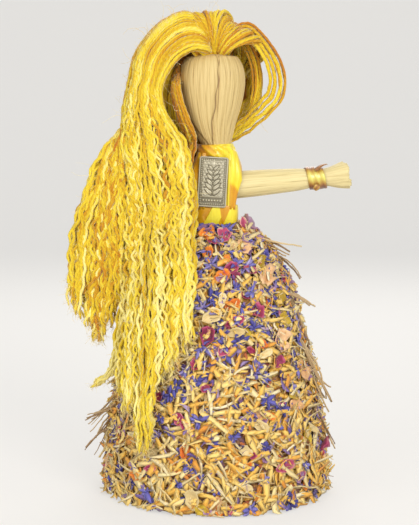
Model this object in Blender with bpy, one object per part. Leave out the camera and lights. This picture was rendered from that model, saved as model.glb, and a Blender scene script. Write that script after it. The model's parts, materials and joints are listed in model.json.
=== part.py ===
# Corn husk doll: husk leaves folded over a head core, a husk roll for arms, a satin ribbon
# bodice with a metal charm, a husk leaf skirt under a crust of dried petals, and yarn hair.
# Metres, +Z up, front is -Y. The origin is on the floor under the middle of the doll's box.
import math
import random

import bpy
from mathutils import Vector

MM = 0.001

# Driving heights, each measured from the one below it
SKIRT_HEIGHT = 162 * MM
TORSO_HEIGHT = 44 * MM
HEAD_HEIGHT = 56 * MM
HAIR_LOFT = 28 * MM
ARM_RISE = 21.5 * MM

# Driving widths
HEM_RADIUS = 63 * MM
WAIST_HALF_WIDTH = 11.5 * MM
WAIST_HALF_DEPTH = 9.5 * MM
NECK_RADIUS = 8.2 * MM
HEAD_HALF_WIDTH = 18.4 * MM
HEAD_HALF_DEPTH = 15 * MM
HEAD_LEAN = 2.6 * MM
HAND_REACH = 80 * MM
HAIR_REACH = 92 * MM

# Husk, its fit and its parts
GAP = 0.35 * MM
HUSK_WALL = 0.8 * MM
CORE_BORE = 7.2 * MM
CORE_BORE_DEPTH = 13 * MM
NECK_STEM = 7 * MM
FILLER_HEIGHT = 7 * MM

# Arm roll
ARM_RADIUS = 8 * MM
WRIST_RADIUS = 5.1 * MM
HAND_RADIUS = 7 * MM
ARM_CORE_RADIUS = 3.6 * MM
ARM_TILT_DEG = 5
WRIST_TIE_WIDTH = 3.8 * MM
WRIST_TIE_WALL = 1.3 * MM
WRIST_TIE_SPACE = 0.6 * MM
KNOT_RADIUS = 1.9 * MM

# Ribbon and thread
RIBBON_WALL = 0.6 * MM
WAIST_BAND_WIDTH = 10.4 * MM
NECK_BAND_WIDTH = 4.5 * MM
STRAP_WIDTH = 5 * MM
THREAD_RADIUS = 0.45 * MM
THREAD_SPACE = 0.5 * MM
WAIST_TIE_DROP = 2.6 * MM

# Charm
CHARM_WIDTH = 20.4 * MM
CHARM_HEIGHT = 31 * MM
CHARM_WALL = 1.6 * MM
CHARM_CORNER = 1.6 * MM
CHARM_RIM = 1.5 * MM
CHARM_SINK = 0.4 * MM
CHARM_LEAN_DEG = 3.4
CHARM_SHIFT = 1.6 * MM

# Skirt
LEAF_WALL = 0.9 * MM
CRUST_BASE = 1.2 * MM
CRUST_RELIEF = 3 * MM
CRUST_HEM_RISE = 2.2 * MM
PETAL_WALL = 0.8 * MM
STALK_RADIUS = 0.75 * MM
STALK_LENGTH = 20 * MM
ROSE_PETAL_SIZE = 10 * MM

# Hair
ROOT_RADIUS = 5.4 * MM
CAP_LEFT = 55 * MM
CAP_RIGHT = 35 * MM
CAP_FRONT = 20 * MM
CAP_BACK = 32 * MM
CAP_HEIGHT = 44 * MM
CAP_ROOF = 21 * MM
CAP_SIDE_WALL = 9 * MM
CAP_FRONT_WALL = 5 * MM
LOCK_HALF_THICKNESS = 5.6 * MM
LOCK_SPACE = 0.9 * MM
LOOP_HALF_WIDTH = 4 * MM

WAIST_Z = SKIRT_HEIGHT
ARM_Z = WAIST_Z + ARM_RISE
NECK_Z = WAIST_Z + TORSO_HEIGHT
CROWN_Z = NECK_Z + HEAD_HEIGHT
HAIR_TOP_Z = CROWN_Z + HAIR_LOFT
DOLL_X = (HAIR_REACH - HAND_REACH) / 2
PLEAT_SHARE = 0.22
BODICE_HALF_DEPTH = max(ARM_RADIUS + GAP + HUSK_WALL * (1 + PLEAT_SHARE), WAIST_HALF_DEPTH)

HUSK_COLOUR = (0.86, 0.72, 0.44, 1)
INNER_HUSK_COLOUR = (0.74, 0.6, 0.36, 1)
SKIRT_HUSK_COLOUR = (0.55, 0.43, 0.25, 1)
YARN_COLOUR = (0.93, 0.7, 0.1, 1)
RIBBON_COLOUR = (0.95, 0.62, 0.04, 1)
PEWTER_COLOUR = (0.5, 0.48, 0.42, 1)
CRUST_COLOUR = (0.72, 0.47, 0.12, 1)
ROSE_COLOUR = (0.55, 0.1, 0.25, 1)
STALK_COLOUR = (0.5, 0.4, 0.26, 1)
THREAD_COLOUR = (0.8, 0.72, 0.5, 1)


# Scene and mesh helpers

def clear_scene():
    for obj in list(bpy.data.objects):
        bpy.data.objects.remove(obj, do_unlink=True)


def make_material(name, colour, roughness, metallic=0.0):
    material = bpy.data.materials.new(name)
    material.use_nodes = True
    shader = material.node_tree.nodes["Principled BSDF"]
    shader.inputs["Base Color"].default_value = colour
    shader.inputs["Roughness"].default_value = roughness
    shader.inputs["Metallic"].default_value = metallic
    return material


def add_object(name, points, faces, material, parent, smooth=True):
    mesh = bpy.data.meshes.new(name)
    mesh.from_pydata([tuple(p) for p in points], [], faces)
    mesh.materials.append(material)
    mesh.update()
    if smooth:
        mesh.shade_smooth()
        mesh.set_sharp_from_angle(angle=math.radians(40))
    obj = bpy.data.objects.new(name, mesh)
    bpy.context.scene.collection.objects.link(obj)
    obj.parent = parent
    return obj


def ring_faces(rings, sides, close_rings):
    """Quads between neighbouring rings; the last ring joins the first where close_rings is set."""
    faces = []
    for i in range(rings if close_rings else rings - 1):
        here, there = i * sides, (i + 1) % rings * sides
        for j in range(sides):
            k = (j + 1) % sides
            faces.append((here + j, here + k, there + k, there + j))
    return faces


def loft(name, rings, material, parent):
    """A closed solid through rings of points, flat at both ends."""
    sides = len(rings[0])
    faces = ring_faces(len(rings), sides, False)
    faces.append(tuple(range(sides - 1, -1, -1)))
    faces.append(tuple((len(rings) - 1) * sides + j for j in range(sides)))
    return add_object(name, [p for ring in rings for p in ring], faces, material, parent)


def ring_wall(name, rings, material, parent, smooth=True):
    """A closed wall all round an axis: the rings run up one face and down the other."""
    points = [p for ring in rings for p in ring]
    return add_object(name, points, ring_faces(len(rings), len(rings[0]), True), material, parent, smooth)


def sheet_solid(name, outer, inner, material, parent):
    """A closed solid between two grids of points, row by row, joined along their edges."""
    rows, columns = len(outer), len(outer[0])
    count = rows * columns
    faces = []
    for i in range(rows - 1):
        for j in range(columns - 1):
            a, b = i * columns + j, (i + 1) * columns + j
            faces.append((a, a + 1, b + 1, b))
            faces.append((count + a, count + b, count + b + 1, count + a + 1))
    edge = [(0, j) for j in range(columns)]
    edge += [(i, columns - 1) for i in range(1, rows)]
    edge += [(rows - 1, j) for j in range(columns - 2, -1, -1)]
    edge += [(i, 0) for i in range(rows - 2, 0, -1)]
    for k, (i, j) in enumerate(edge):
        m, n = edge[(k + 1) % len(edge)]
        a, b = i * columns + j, m * columns + n
        faces.append((b, a, count + a, count + b))
    points = [p for row in outer for p in row] + [p for row in inner for p in row]
    return add_object(name, points, faces, material, parent)


# Curves and interpolation

def mix(a, b, t):
    return a + (b - a) * t


def table_value(table, x):
    """Smooth value at x of a table of (x, value) pairs in rising x."""
    if x <= table[0][0]:
        return table[0][1]
    for i in range(len(table) - 1):
        (x0, y0), (x1, y1) = table[i], table[i + 1]
        if x <= x1:
            before = table[max(i - 1, 0)]
            after = table[min(i + 2, len(table) - 1)]
            slope0 = (y1 - before[1]) / (x1 - before[0])
            slope1 = (after[1] - y0) / (after[0] - x0)
            t = (x - x0) / (x1 - x0)
            span = x1 - x0
            h00 = 2 * t**3 - 3 * t**2 + 1
            h10 = t**3 - 2 * t**2 + t
            return h00 * y0 + h10 * span * slope0 + (1 - h00) * y1 + (t**3 - t**2) * span * slope1
    return table[-1][1]


def through(points, t):
    """Point at t, 0 to 1, of a smooth curve through evenly spaced points."""
    place = min(max(t, 0), 1) * (len(points) - 1)
    i = min(int(place), len(points) - 2)
    f = place - i
    p0, p1, p2, p3 = (points[min(max(i + k, 0), len(points) - 1)] for k in (-1, 0, 1, 2))
    return 0.5 * (
        2 * p1 + (p2 - p0) * f + (2 * p0 - 5 * p1 + 4 * p2 - p3) * f**2 + (3 * p1 - p0 - 3 * p2 + p3) * f**3
    )


def least_gap(turns, per_turn, radius):
    """Least clear distance between neighbouring turns of a winding, from its points."""
    found = min((turns[i] - turns[i + per_turn]).length for i in range(len(turns) - per_turn))
    return found - 2 * radius


def around(angle, across, depth):
    """Direction at an angle about +Z, 0 at the front and rising to +X, with its own two radii."""
    return Vector((math.sin(angle) * across, -math.cos(angle) * depth, 0))


def wound_thread(name, axis_x, axis_z, across, depth, turns, material, parent):
    """One unbroken thread wound turns times round a stem, each turn beside the last."""
    per_turn, sides = 16, 4
    pitch = 2 * THREAD_RADIUS + THREAD_SPACE
    across, depth = ((r + THREAD_RADIUS) / math.cos(math.pi / per_turn) for r in (across, depth))
    line = []
    for i in range(turns * per_turn + 1):
        share = i / per_turn
        base = around(2 * math.pi * share, across, depth)
        line.append(base + Vector((axis_x, 0, axis_z + (share - turns / 2) * pitch)))
    print(name, "least gap", round(least_gap(line, per_turn, THREAD_RADIUS) / MM, 2), "mm")
    rings = []
    for i, p in enumerate(line):
        along = (line[min(i + 1, len(line) - 1)] - line[max(i - 1, 0)]).normalized()
        out = Vector((p.x - axis_x, p.y, 0)).normalized()
        up = along.cross(out)
        rings.append([
            p + (out * math.cos(a) + up * math.sin(a)) * THREAD_RADIUS
            for a in (2 * math.pi * k / sides for k in range(sides))
        ])
    return loft(name, rings, material, parent)


# Shape of the body that the other pieces follow

# Height above the neck as a share of HEAD_HEIGHT, with half width and half depth shares
HEAD_SHARES = [
    (0, 0.445, 0.547), (0.08, 0.475, 0.56), (0.2, 0.65, 0.68), (0.38, 0.86, 0.86), (0.56, 0.97, 0.96),
    (0.72, 1.0, 1.0), (0.86, 0.96, 0.93), (0.95, 0.84, 0.78), (0.99, 0.68, 0.58), (1.0, 0.5, 0.42),
]
# Height as a share of SKIRT_HEIGHT, and how far out from waist to hem
BELL_SHARES = [
    (0, 1.0), (0.2, 0.955), (0.35, 0.875), (0.49, 0.785), (0.6, 0.715), (0.72, 0.635), (0.79, 0.56),
    (0.865, 0.42), (0.925, 0.255), (0.96, 0.1), (0.975, 0), (1.0, 0),
]


def head_half_sizes(share):
    """Half width and half depth of the head's outer face at a share of its height."""
    wide = table_value([(s, w) for s, w, d in HEAD_SHARES], share) * HEAD_HALF_WIDTH
    deep = table_value([(s, d) for s, w, d in HEAD_SHARES], share) * HEAD_HALF_DEPTH
    return max(wide, NECK_RADIUS), max(deep, NECK_RADIUS)


def head_shift(share):
    """The head leans to the doll's right, so its middle moves over with height."""
    return -HEAD_LEAN * min(max(share, 0), 1)


def thread_seat(radius):
    """Radius at which a thread lies on a husk leaf, clear of its pleats."""
    return radius + HUSK_WALL * PLEAT_SHARE + GAP


def skirt_top_radius():
    return thread_seat(max(WAIST_HALF_WIDTH, BODICE_HALF_DEPTH)) + 2 * THREAD_RADIUS + 2 * GAP


def bell_radius(z):
    """Inner radius of the skirt's leaves at a height."""
    share = min(max(z / SKIRT_HEIGHT, 0), 1)
    return mix(skirt_top_radius(), HEM_RADIUS, table_value(BELL_SHARES, share))


def crust_inner(z):
    return bell_radius(z) + 2 * LEAF_WALL + 3 * GAP


def skirt_outer(z):
    """Radius that the skirt's two lapped leaves and its crust stay inside."""
    return crust_inner(z) + CRUST_BASE + CRUST_RELIEF


def grown_skirt(z, pad):
    """The skirt's radius grown by pad square to its slope."""
    grown = [
        skirt_outer(z - pad * sink) + pad * math.sqrt(1 - sink**2)
        for sink in (0, 0.3, 0.6, 0.85)
        if z - pad * sink < SKIRT_HEIGHT
    ]
    return max(grown) if grown else 0


def arm_height(x):
    return ARM_Z + x * math.tan(math.radians(ARM_TILT_DEG))


def body_depth(x, z, pad):
    """How far in front of or behind the doll's middle a layer has to lie to clear the body by pad."""
    depth = 0
    if z > NECK_Z - pad:
        share = (z - NECK_Z) / HEAD_HEIGHT
        wide, deep = head_half_sizes(min(max(share, 0), 1))
        wide, deep = wide + pad, deep + pad
        off = (x - head_shift(share)) / wide
        if abs(off) < 1 and z < CROWN_Z + pad:
            depth = deep * math.sqrt(1 - off**2)
    else:
        wide = WAIST_HALF_WIDTH + BODICE_HALF_DEPTH - WAIST_HALF_DEPTH + 2 * RIBBON_WALL + pad
        deep = BODICE_HALF_DEPTH + CHARM_WALL + 2 * RIBBON_WALL + pad
        if abs(x) < wide and z > WAIST_Z - pad:
            depth = deep * math.sqrt(1 - (x / wide) ** 2)
    rise = abs(z - arm_height(x))
    reach = ARM_RADIUS + RIBBON_WALL + pad
    if rise < reach and abs(x) < HAND_REACH + pad:
        depth = max(depth, math.sqrt(reach**2 - rise**2))
    radius = grown_skirt(z, pad)
    if abs(x) < radius:
        depth = max(depth, math.sqrt(radius**2 - x**2))
    return depth


# Head and torso

# Rows down one husk leaf: height from the waist (0) to the neck (1) and the crown (2),
# how square its front is, and how far round it reaches as a share of a quarter turn
LEAF_ROW_SHARES = [
    (2.0, 0, 0.93), (1.985, 0, 0.95), (1.93, 0, 0.96), (1.84, 0, 0.96), (1.7, 0, 0.96), (1.54, 0, 0.96),
    (1.38, 0, 0.96), (1.24, 0, 0.96), (1.1, 0, 0.96), (1.04, 0, 0.95), (0.95, 0, 0.92), (0.89, 0.1, 0.84), (0.81, 0.4, 0.7),
    (0.7, 1, 0.6), (0.28, 1, 0.6), (0.2, 0.3, 0.7), (0.06, 0.1, 0.8), (-0.12, 0, 0.86),
]
PLEATS = 7


def torso_fullness(height):
    """How far the torso has opened out from the neck (0) to the chest (1) at a share of its height."""
    return min(max((0.94 - height) / 0.2, 0), 1)


def leaf_row(height, square, reach, side, wall, columns):
    """One row of points across a husk leaf: side is -1 at the front and 1 at the back."""
    if height > 1:
        share = height - 1
        z = NECK_Z + share * HEAD_HEIGHT
        wide, deep = head_half_sizes(share)
        shift = head_shift(share)
    else:
        z = WAIST_Z + height * TORSO_HEIGHT
        fullness = torso_fullness(height)
        wide = mix(NECK_RADIUS, WAIST_HALF_WIDTH, fullness)
        deep = mix(NECK_RADIUS, BODICE_HALF_DEPTH, fullness)
        shift = 0
    row = []
    for j in range(columns):
        share = j / (columns - 1) * 2 - 1
        angle = share * reach * math.pi / 2
        ripple = PLEAT_SHARE * HUSK_WALL * math.cos(share * PLEATS * math.pi) * (1 - abs(share) ** 4)
        half_wide, half_deep = wide - wall + ripple, deep - wall + ripple
        forward = mix(math.cos(angle), 1, square)
        row.append(Vector((shift + half_wide * math.sin(angle), side * half_deep * forward, z)))
    return row


def make_husk_leaf(name, side, material, parent):
    """A leaf from the crown over the head, pinched at the neck and flat over the arm roll."""
    columns = 15
    outer = [leaf_row(h, s, r, side, 0, columns) for h, s, r in LEAF_ROW_SHARES]
    inner = [leaf_row(h, s, r, side, HUSK_WALL, columns) for h, s, r in LEAF_ROW_SHARES]
    for row in inner[:2]:
        for p in row:
            p.z -= HUSK_WALL
    if side < 0:
        outer, inner = inner, outer
    return sheet_solid(name, outer, inner, material, parent)


def make_head_core(material, parent):
    """Wad of tied husk stubs that fills the head, bored for the yarn and drawn down to a neck stem."""
    sides = 16
    rings = []
    bore_floor = CROWN_Z - HUSK_WALL - GAP - CORE_BORE_DEPTH
    top_share = 0.95
    shares = [0.1, 0.2, 0.38, 0.56, 0.72, 0.86, top_share]
    stem = NECK_RADIUS - HUSK_WALL - 2 * GAP
    rings.append([around(2 * math.pi * k / sides, stem, stem) + Vector((0, 0, NECK_Z - NECK_STEM))
                  for k in range(sides)])
    for share in shares:
        wide, deep = head_half_sizes(share)
        inset = HUSK_WALL * (1 + 2 * PLEAT_SHARE) + 2 * GAP
        middle = Vector((head_shift(share), 0, NECK_Z + share * HEAD_HEIGHT - GAP))
        rings.append([middle + around(2 * math.pi * k / sides, wide - inset, deep - inset) for k in range(sides)])
    for z in (NECK_Z + top_share * HEAD_HEIGHT - GAP, bore_floor):
        middle = Vector((head_shift(1), 0, z))
        rings.append([middle + around(2 * math.pi * k / sides, CORE_BORE, CORE_BORE) for k in range(sides)])
    return loft("head_core", rings, material, parent)


def make_chest_filler(material, parent):
    """Small wad of husk under the arm roll that fills the bodice."""
    sides, rows = 14, 7
    rings = []
    top = ARM_Z - ARM_RADIUS / math.cos(math.radians(ARM_TILT_DEG)) - GAP
    top -= WAIST_HALF_WIDTH * math.tan(math.radians(ARM_TILT_DEG))
    for i in range(rows):
        share = i / (rows - 1) * 2 - 1
        swell = math.sqrt(1 - (0.9 * share) ** 2)
        wide = (WAIST_HALF_WIDTH - HUSK_WALL - 2 * GAP) * swell * 0.86
        deep = (BODICE_HALF_DEPTH - HUSK_WALL * (1 + PLEAT_SHARE) - GAP) * swell
        z = top - FILLER_HEIGHT * (1 - share) / 2
        rings.append([around(2 * math.pi * k / sides, wide, deep) + Vector((0, 0, z)) for k in range(sides)])
    return loft("chest_filler", rings, material, parent)


# Arms: pieces lie along the arm axis, their own +X, and are built from the middle outwards

# Distance from the doll's middle as a share of HAND_REACH, and where the radius lies between
# the wrist's (0) and the arm's (1); past the wrist it flares towards the hand's
SLEEVE_SHARES = [
    (0.012, 1.0), (0.17, 1.0), (0.32, 0.88), (0.47, 0.7), (0.6, 0.5), (0.67, 0.28), (0.74, 0.06), (0.8, 0),
]
HAND_SHARES = [(0.84, 0.15), (0.9, 0.66), (0.95, 0.92), (1.0, 1.0)]
WRIST_SHARE = 0.745


def sleeve_radius(share):
    if share <= SLEEVE_SHARES[-1][0]:
        return mix(WRIST_RADIUS, ARM_RADIUS, table_value(SLEEVE_SHARES, share))
    return mix(WRIST_RADIUS, HAND_RADIUS, table_value([(SLEEVE_SHARES[-1][0], 0)] + HAND_SHARES, share))


def arm_ring(x, radius, sides, ridge, side, ragged=0.0):
    """Ring of points round the arm's axis, ridged along the roll; ragged ends are cut uneven."""
    ring = []
    for k in range(sides):
        a = 2 * math.pi * k / sides * side
        r = radius + (ridge if k % 2 else 0)
        reach = x - ragged * (0.5 + 0.5 * math.sin(3 * a + 1))
        ring.append(Vector((reach * side, r * math.cos(a), r * math.sin(a))))
    return ring


def make_sleeve(name, side, material, parent):
    """Outer husk leaf rolled round the arm, pinched at the wrist and flared open as the hand."""
    sides = 16
    ridge_share = 0.25
    rows = [s for s, r in SLEEVE_SHARES] + [s for s, r in HAND_SHARES]
    hand_cut = 2.4 * HUSK_WALL
    outer, inner = [], []
    for share in rows:
        ragged = hand_cut if share == rows[-1] else 0
        radius = sleeve_radius(share)
        outer.append(arm_ring(share * HAND_REACH, radius - ridge_share * HUSK_WALL, sides,
                              ridge_share * HUSK_WALL, side, ragged))
        inner.append(arm_ring(share * HAND_REACH, radius - HUSK_WALL * (1 + ridge_share), sides, 0, side, ragged))
    return ring_wall(name, outer + inner[::-1], material, parent)


def make_arm_core(material, parent):
    """Tight inner husk roll that runs through the torso from hand to hand."""
    sides = 10
    reach_share = 0.93
    shares = [-reach_share, -0.84, -0.8, -0.66, -0.35, 0, 0.35, 0.66, 0.8, 0.84, reach_share]
    rings = []
    for share in shares:
        room = sleeve_radius(abs(share)) - HUSK_WALL * 1.5 - GAP
        radius = min(room, ARM_RADIUS - HUSK_WALL * 1.5 - GAP, max(ARM_CORE_RADIUS, room * 0.9))
        rings.append([
            Vector((share * HAND_REACH, radius * math.cos(a), radius * math.sin(a)))
            for a in (2 * math.pi * k / sides for k in range(sides))
        ])
    return loft("arm_core_roll", rings, material, parent)


def make_wrist_tie(name, side, material, parent):
    """Satin ribbon wound twice round the wrist as one unbroken strip, its turns side by side."""
    per_turn, turns = 20, 2
    pitch = WRIST_TIE_WIDTH + WRIST_TIE_SPACE
    start = WRIST_SHARE * HAND_REACH - pitch * turns / 2
    rings, middles = [], []
    for i in range(turns * per_turn + 1):
        share = i / per_turn
        middle = start + share * pitch
        angle = 2 * math.pi * share - math.pi / 2
        ring = []
        for along, wall in ((-0.5, 0), (-0.5, 1), (0.5, 1), (0.5, 0)):
            x = middle + along * WRIST_TIE_WIDTH
            radius = sleeve_radius((middle - WRIST_TIE_WIDTH / 2) / HAND_REACH) + GAP + wall * WRIST_TIE_WALL
            ring.append(Vector((x * side, radius * math.cos(angle), radius * math.sin(angle))))
        middles.append(Vector((middle, ring[0].y, ring[0].z)))
        rings.append(ring if side < 0 else ring[::-1])
    print(name, "least gap", round((least_gap(middles, per_turn, WRIST_TIE_WIDTH / 2)) / MM, 2), "mm")
    return loft(name, rings, material, parent)


def make_knot(name, side, material, parent):
    """Knot of the wrist ribbon with its two short ends, low on the front of the wrist."""
    sides = 8
    middle = WRIST_SHARE * HAND_REACH
    seat = sleeve_radius(WRIST_SHARE - WRIST_TIE_WIDTH / HAND_REACH) + 1.5 * GAP + WRIST_TIE_WALL
    down = Vector((0, -math.cos(math.radians(60)), -math.sin(math.radians(60))))
    across = Vector((side, 0, 0))
    third = across.cross(down)
    rings = []
    for step, swell in ((-1.5, 0.42), (-1.0, 0.3), (-0.7, 0.85), (0, 1.0), (0.7, 0.85), (1.0, 0.3), (1.5, 0.42)):
        centre = Vector((side * middle, 0, 0)) + down * (seat + KNOT_RADIUS) + across * step * KNOT_RADIUS
        rings.append([
            centre + (down * math.cos(a) + third * math.sin(a)) * KNOT_RADIUS * swell
            for a in (2 * math.pi * k / sides for k in range(sides))
        ])
    return loft(name, rings, material, parent)


# Ribbon bodice and charm

def squared(angle, wide, deep):
    """Point on a rounded square, fuller than an oval, at an angle about +Z."""
    s, c = math.sin(angle), -math.cos(angle)
    stretch = (abs(s) ** 4 + abs(c) ** 4) ** (-1 / 4)
    return Vector((s * wide * stretch, c * deep * stretch, 0))


def make_waist_band(material, parent):
    """Ribbon wrapped round the waist below the arm roll, with soft folds."""
    sides = 28
    wide = WAIST_HALF_WIDTH + GAP
    deep = BODICE_HALF_DEPTH + GAP
    fold = RIBBON_WALL / 3
    rings = []
    for wall, rows in ((1, (0, 0.5, 1)), (0, (1, 0))):
        for share in rows:
            z = WAIST_Z + GAP + share * WAIST_BAND_WIDTH
            ring = []
            for k in range(sides):
                a = 2 * math.pi * k / sides
                out = wall * (RIBBON_WALL + fold * math.cos(7 * a + 5 * share)) + fold
                ring.append(squared(a, wide + out, deep + out) + Vector((0, 0, z)))
            rings.append(ring)
    return ring_wall("ribbon_waist_band", rings, material, parent)


def neck_band_seat():
    return thread_seat(NECK_RADIUS) + 2 * THREAD_RADIUS + 2 * GAP


def make_neck_band(material, parent):
    """Ribbon wrapped round the neck over its tie thread."""
    sides = 20
    rings = []
    inner = neck_band_seat()
    for radius, z in (
        (inner + RIBBON_WALL, -0.5), (inner + RIBBON_WALL * 1.3, 0), (inner + RIBBON_WALL, 0.5), (inner, 0.5),
        (inner, -0.5),
    ):
        height = NECK_Z + z * NECK_BAND_WIDTH
        rings.append([around(2 * math.pi * k / sides, radius, radius) + Vector((0, 0, height)) for k in range(sides)])
    return ring_wall("ribbon_neck_band", rings, material, parent)


def make_chest_panel(name, side, material, parent):
    """Ribbon down the middle of the bodice, from the neck band to the waist band."""
    rows, columns = 7, 7
    wide = WAIST_HALF_WIDTH * 0.8
    low = WAIST_Z + 2 * GAP + WAIST_BAND_WIDTH
    high = NECK_Z - NECK_BAND_WIDTH / 2 - GAP
    outer, inner = [], []
    for i in range(rows):
        share = i / (rows - 1)
        z = mix(high, low, share)
        height = (z - WAIST_Z) / TORSO_HEIGHT
        deep = mix(NECK_RADIUS, BODICE_HALF_DEPTH, torso_fullness(height))
        deep += HUSK_WALL * PLEAT_SHARE + GAP
        row_outer, row_inner = [], []
        for j in range(columns):
            across = j / (columns - 1) * 2 - 1
            narrow = mix(0.8, 1, min(share * 3, 1))
            fold = RIBBON_WALL / 3 * math.cos(9 * across + 4 * share)
            x = across * wide * narrow
            row_inner.append(Vector((x, side * deep, z)))
            row_outer.append(Vector((x, side * (deep + RIBBON_WALL + fold), z)))
        outer.append(row_outer)
        inner.append(row_inner)
    if side < 0:
        outer, inner = inner, outer
    return sheet_solid(name, outer, inner, material, parent)


def make_strap(name, side, material, parent):
    """Ribbon from the waist up over the root of the arm beside the neck and down the back."""
    rows = 15
    inner_edge = neck_band_seat() + RIBBON_WALL * 1.3 + GAP
    foot = WAIST_Z + 2 * GAP + WAIST_BAND_WIDTH
    middle_x = inner_edge + STRAP_WIDTH / 2
    arm_z = arm_height(side * middle_x)
    base = ARM_RADIUS + 2 * GAP + STRAP_WIDTH / 2 * math.tan(math.radians(ARM_TILT_DEG))
    outer, inner = [], []
    for i in range(rows):
        share = i / (rows - 1) * 2 - 1
        straight = 0.35
        if abs(share) > 1 - straight:
            drop = (abs(share) - 1 + straight) / straight
            direction = Vector((0, math.copysign(1, share), 0))
            lift = mix(0, foot - arm_z, drop)
        else:
            a = share / (1 - straight) * math.pi / 2
            direction = Vector((0, math.sin(a), math.cos(a)))
            lift = 0
        row_outer, row_inner = [], []
        for across in (-0.5, 0, 0.5):
            puff = (1 - 4 * across**2) * RIBBON_WALL / 2
            x = side * (middle_x + across * STRAP_WIDTH)
            centre = Vector((x, 0, arm_z + lift))
            row_outer.append(centre + direction * (base + RIBBON_WALL + puff))
            row_inner.append(centre + direction * base)
        outer.append(row_outer)
        inner.append(row_inner)
    if side < 0:
        outer, inner = inner, outer
    return sheet_solid(name, outer, inner, material, parent)


def charm_outline(wide, tall, corner, per_corner):
    """Rounded rectangle in the charm's own plane, counter-clockwise seen from the front."""
    points = []
    for cx, cz, first in ((1, 1, 0), (-1, 1, 90), (-1, -1, 180), (1, -1, 270)):
        for k in range(per_corner):
            a = math.radians(first + 90 * k / (per_corner - 1))
            x = cx * (wide / 2 - corner) + corner * math.cos(a)
            z = cz * (tall / 2 - corner) + corner * math.sin(a)
            points.append((x, z))
    return points


def make_charm(material, parent):
    """Cast plate with a raised rim round a sunk panel that carries a raised lozenge."""
    per_corner = 4
    wide, tall = CHARM_WIDTH, CHARM_HEIGHT
    corner = CHARM_CORNER
    inner_wide, inner_tall = wide - 2 * CHARM_RIM, tall - 2 * CHARM_RIM
    levels = [
        (wide, tall, 0), (wide, tall, CHARM_WALL), (inner_wide, inner_tall, CHARM_WALL),
        (inner_wide - CHARM_SINK, inner_tall - CHARM_SINK, CHARM_WALL - CHARM_SINK),
    ]
    rings = [
        [Vector((x, -y, z)) for x, z in charm_outline(w, t, corner, per_corner)] for w, t, y in levels
    ]
    lozenge_share = 0.55
    count = 4 * per_corner
    for scale, y in ((1, CHARM_WALL - CHARM_SINK), (0.8, CHARM_WALL)):
        ring = []
        for k in range(count):
            a = 2 * math.pi * (k + 0.5 - per_corner / 2 + per_corner / 2) / count
            reach = scale * lozenge_share / (abs(math.cos(a)) + abs(math.sin(a)))
            ring.append(Vector((inner_wide / 2 * reach * math.cos(a), -y, inner_tall / 2 * reach * math.sin(a))))
        rings.append(ring)
    plate = loft("charm_plate", rings[:], material, parent)
    front = BODICE_HALF_DEPTH + HUSK_WALL * PLEAT_SHARE + 2 * GAP + RIBBON_WALL * 4 / 3
    tilt = math.radians(CHARM_LEAN_DEG)
    plate.location = (-CHARM_SHIFT, -front, WAIST_Z + TORSO_HEIGHT * 0.53)
    plate.rotation_euler = (0, tilt, 0)
    return plate


# Skirt

def make_skirt_leaf(name, index, count, material, parent):
    """One leaf of the skirt. Each laps over the next, so its radius grows across its width."""
    rows, columns = 10, 7
    lap = 1.16
    span = 2 * math.pi / count * lap
    outer, inner = [], []
    for i in range(rows):
        share = (i / (rows - 1)) ** 1.5
        z = SKIRT_HEIGHT * (1 - share) - GAP * (1 - share)
        row_outer, row_inner = [], []
        for j in range(columns):
            across = j / (columns - 1)
            angle = 2 * math.pi * index / count + span * (across - 0.5)
            radius = bell_radius(z) + across * (LEAF_WALL + 2 * GAP)
            row_inner.append(around(angle, radius, radius) + Vector((0, 0, z)))
            row_outer.append(around(angle, radius + LEAF_WALL, radius + LEAF_WALL) + Vector((0, 0, z)))
        outer.append(row_outer)
        inner.append(row_inner)
    return sheet_solid(name, inner, outer, material, parent)


def make_crust(name, low, high, rows, columns, seed, tips, material, parent):
    """A ring of glued petals: a wall on the leaves whose face stands up in staggered petal tips."""
    dice = random.Random(seed)
    crowding = 1 + high / SKIRT_HEIGHT / 2 if high > 0.9 * SKIRT_HEIGHT else 1
    outer = []
    for i in range(rows):
        z = mix(low, high, 1 - (1 - i / (rows - 1)) ** crowding)
        ring = []
        for k in range(columns):
            angle = 2 * math.pi * (k + 0.5 * (i % 2)) / columns
            tip = 1 if (i + k) % 2 else 0.1
            relief = CRUST_RELIEF * tip * dice.uniform(0.6, 1)
            if i in (0, rows - 1):
                relief *= 0.5
            radius = crust_inner(z) + CRUST_BASE + relief
            ring.append(around(angle, radius, radius) + Vector((0, 0, z)))
            if relief > 0.75 * CRUST_RELIEF:
                tips.append(ring[-1])
        outer.append(ring)
    inner = []
    for i in range(rows - 1, -1, -1):
        z = mix(low, high, 1 - (1 - i / (rows - 1)) ** crowding)
        shift = 0.5 * (i % 2)
        inner.append([
            around(2 * math.pi * (k + shift) / columns, crust_inner(z), crust_inner(z)) + Vector((0, 0, z))
            for k in range(columns)
        ])
    return ring_wall(name, outer + inner, material, parent, smooth=False)


def on_skirt(tips, angle, z, lift):
    """Point lift above the petal tip nearest to a place, with the directions out, across and up the slope."""
    place = around(angle, skirt_outer(z), skirt_outer(z)) + Vector((0, 0, z))
    tip = min(tips, key=lambda p: (p - place).length)
    angle, z = math.atan2(tip.x, -tip.y), tip.z
    step = SKIRT_HEIGHT / 40
    slope = skirt_outer(z + step) - skirt_outer(z - step)
    up = (around(angle, slope, slope) + Vector((0, 0, 2 * step))).normalized()
    across = around(angle + math.pi / 2, 1, 1)
    out = across.cross(up).normalized()
    if out.dot(around(angle, 1, 1)) < 0:
        out = -out
    return tip + out * lift, out, across, up


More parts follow.
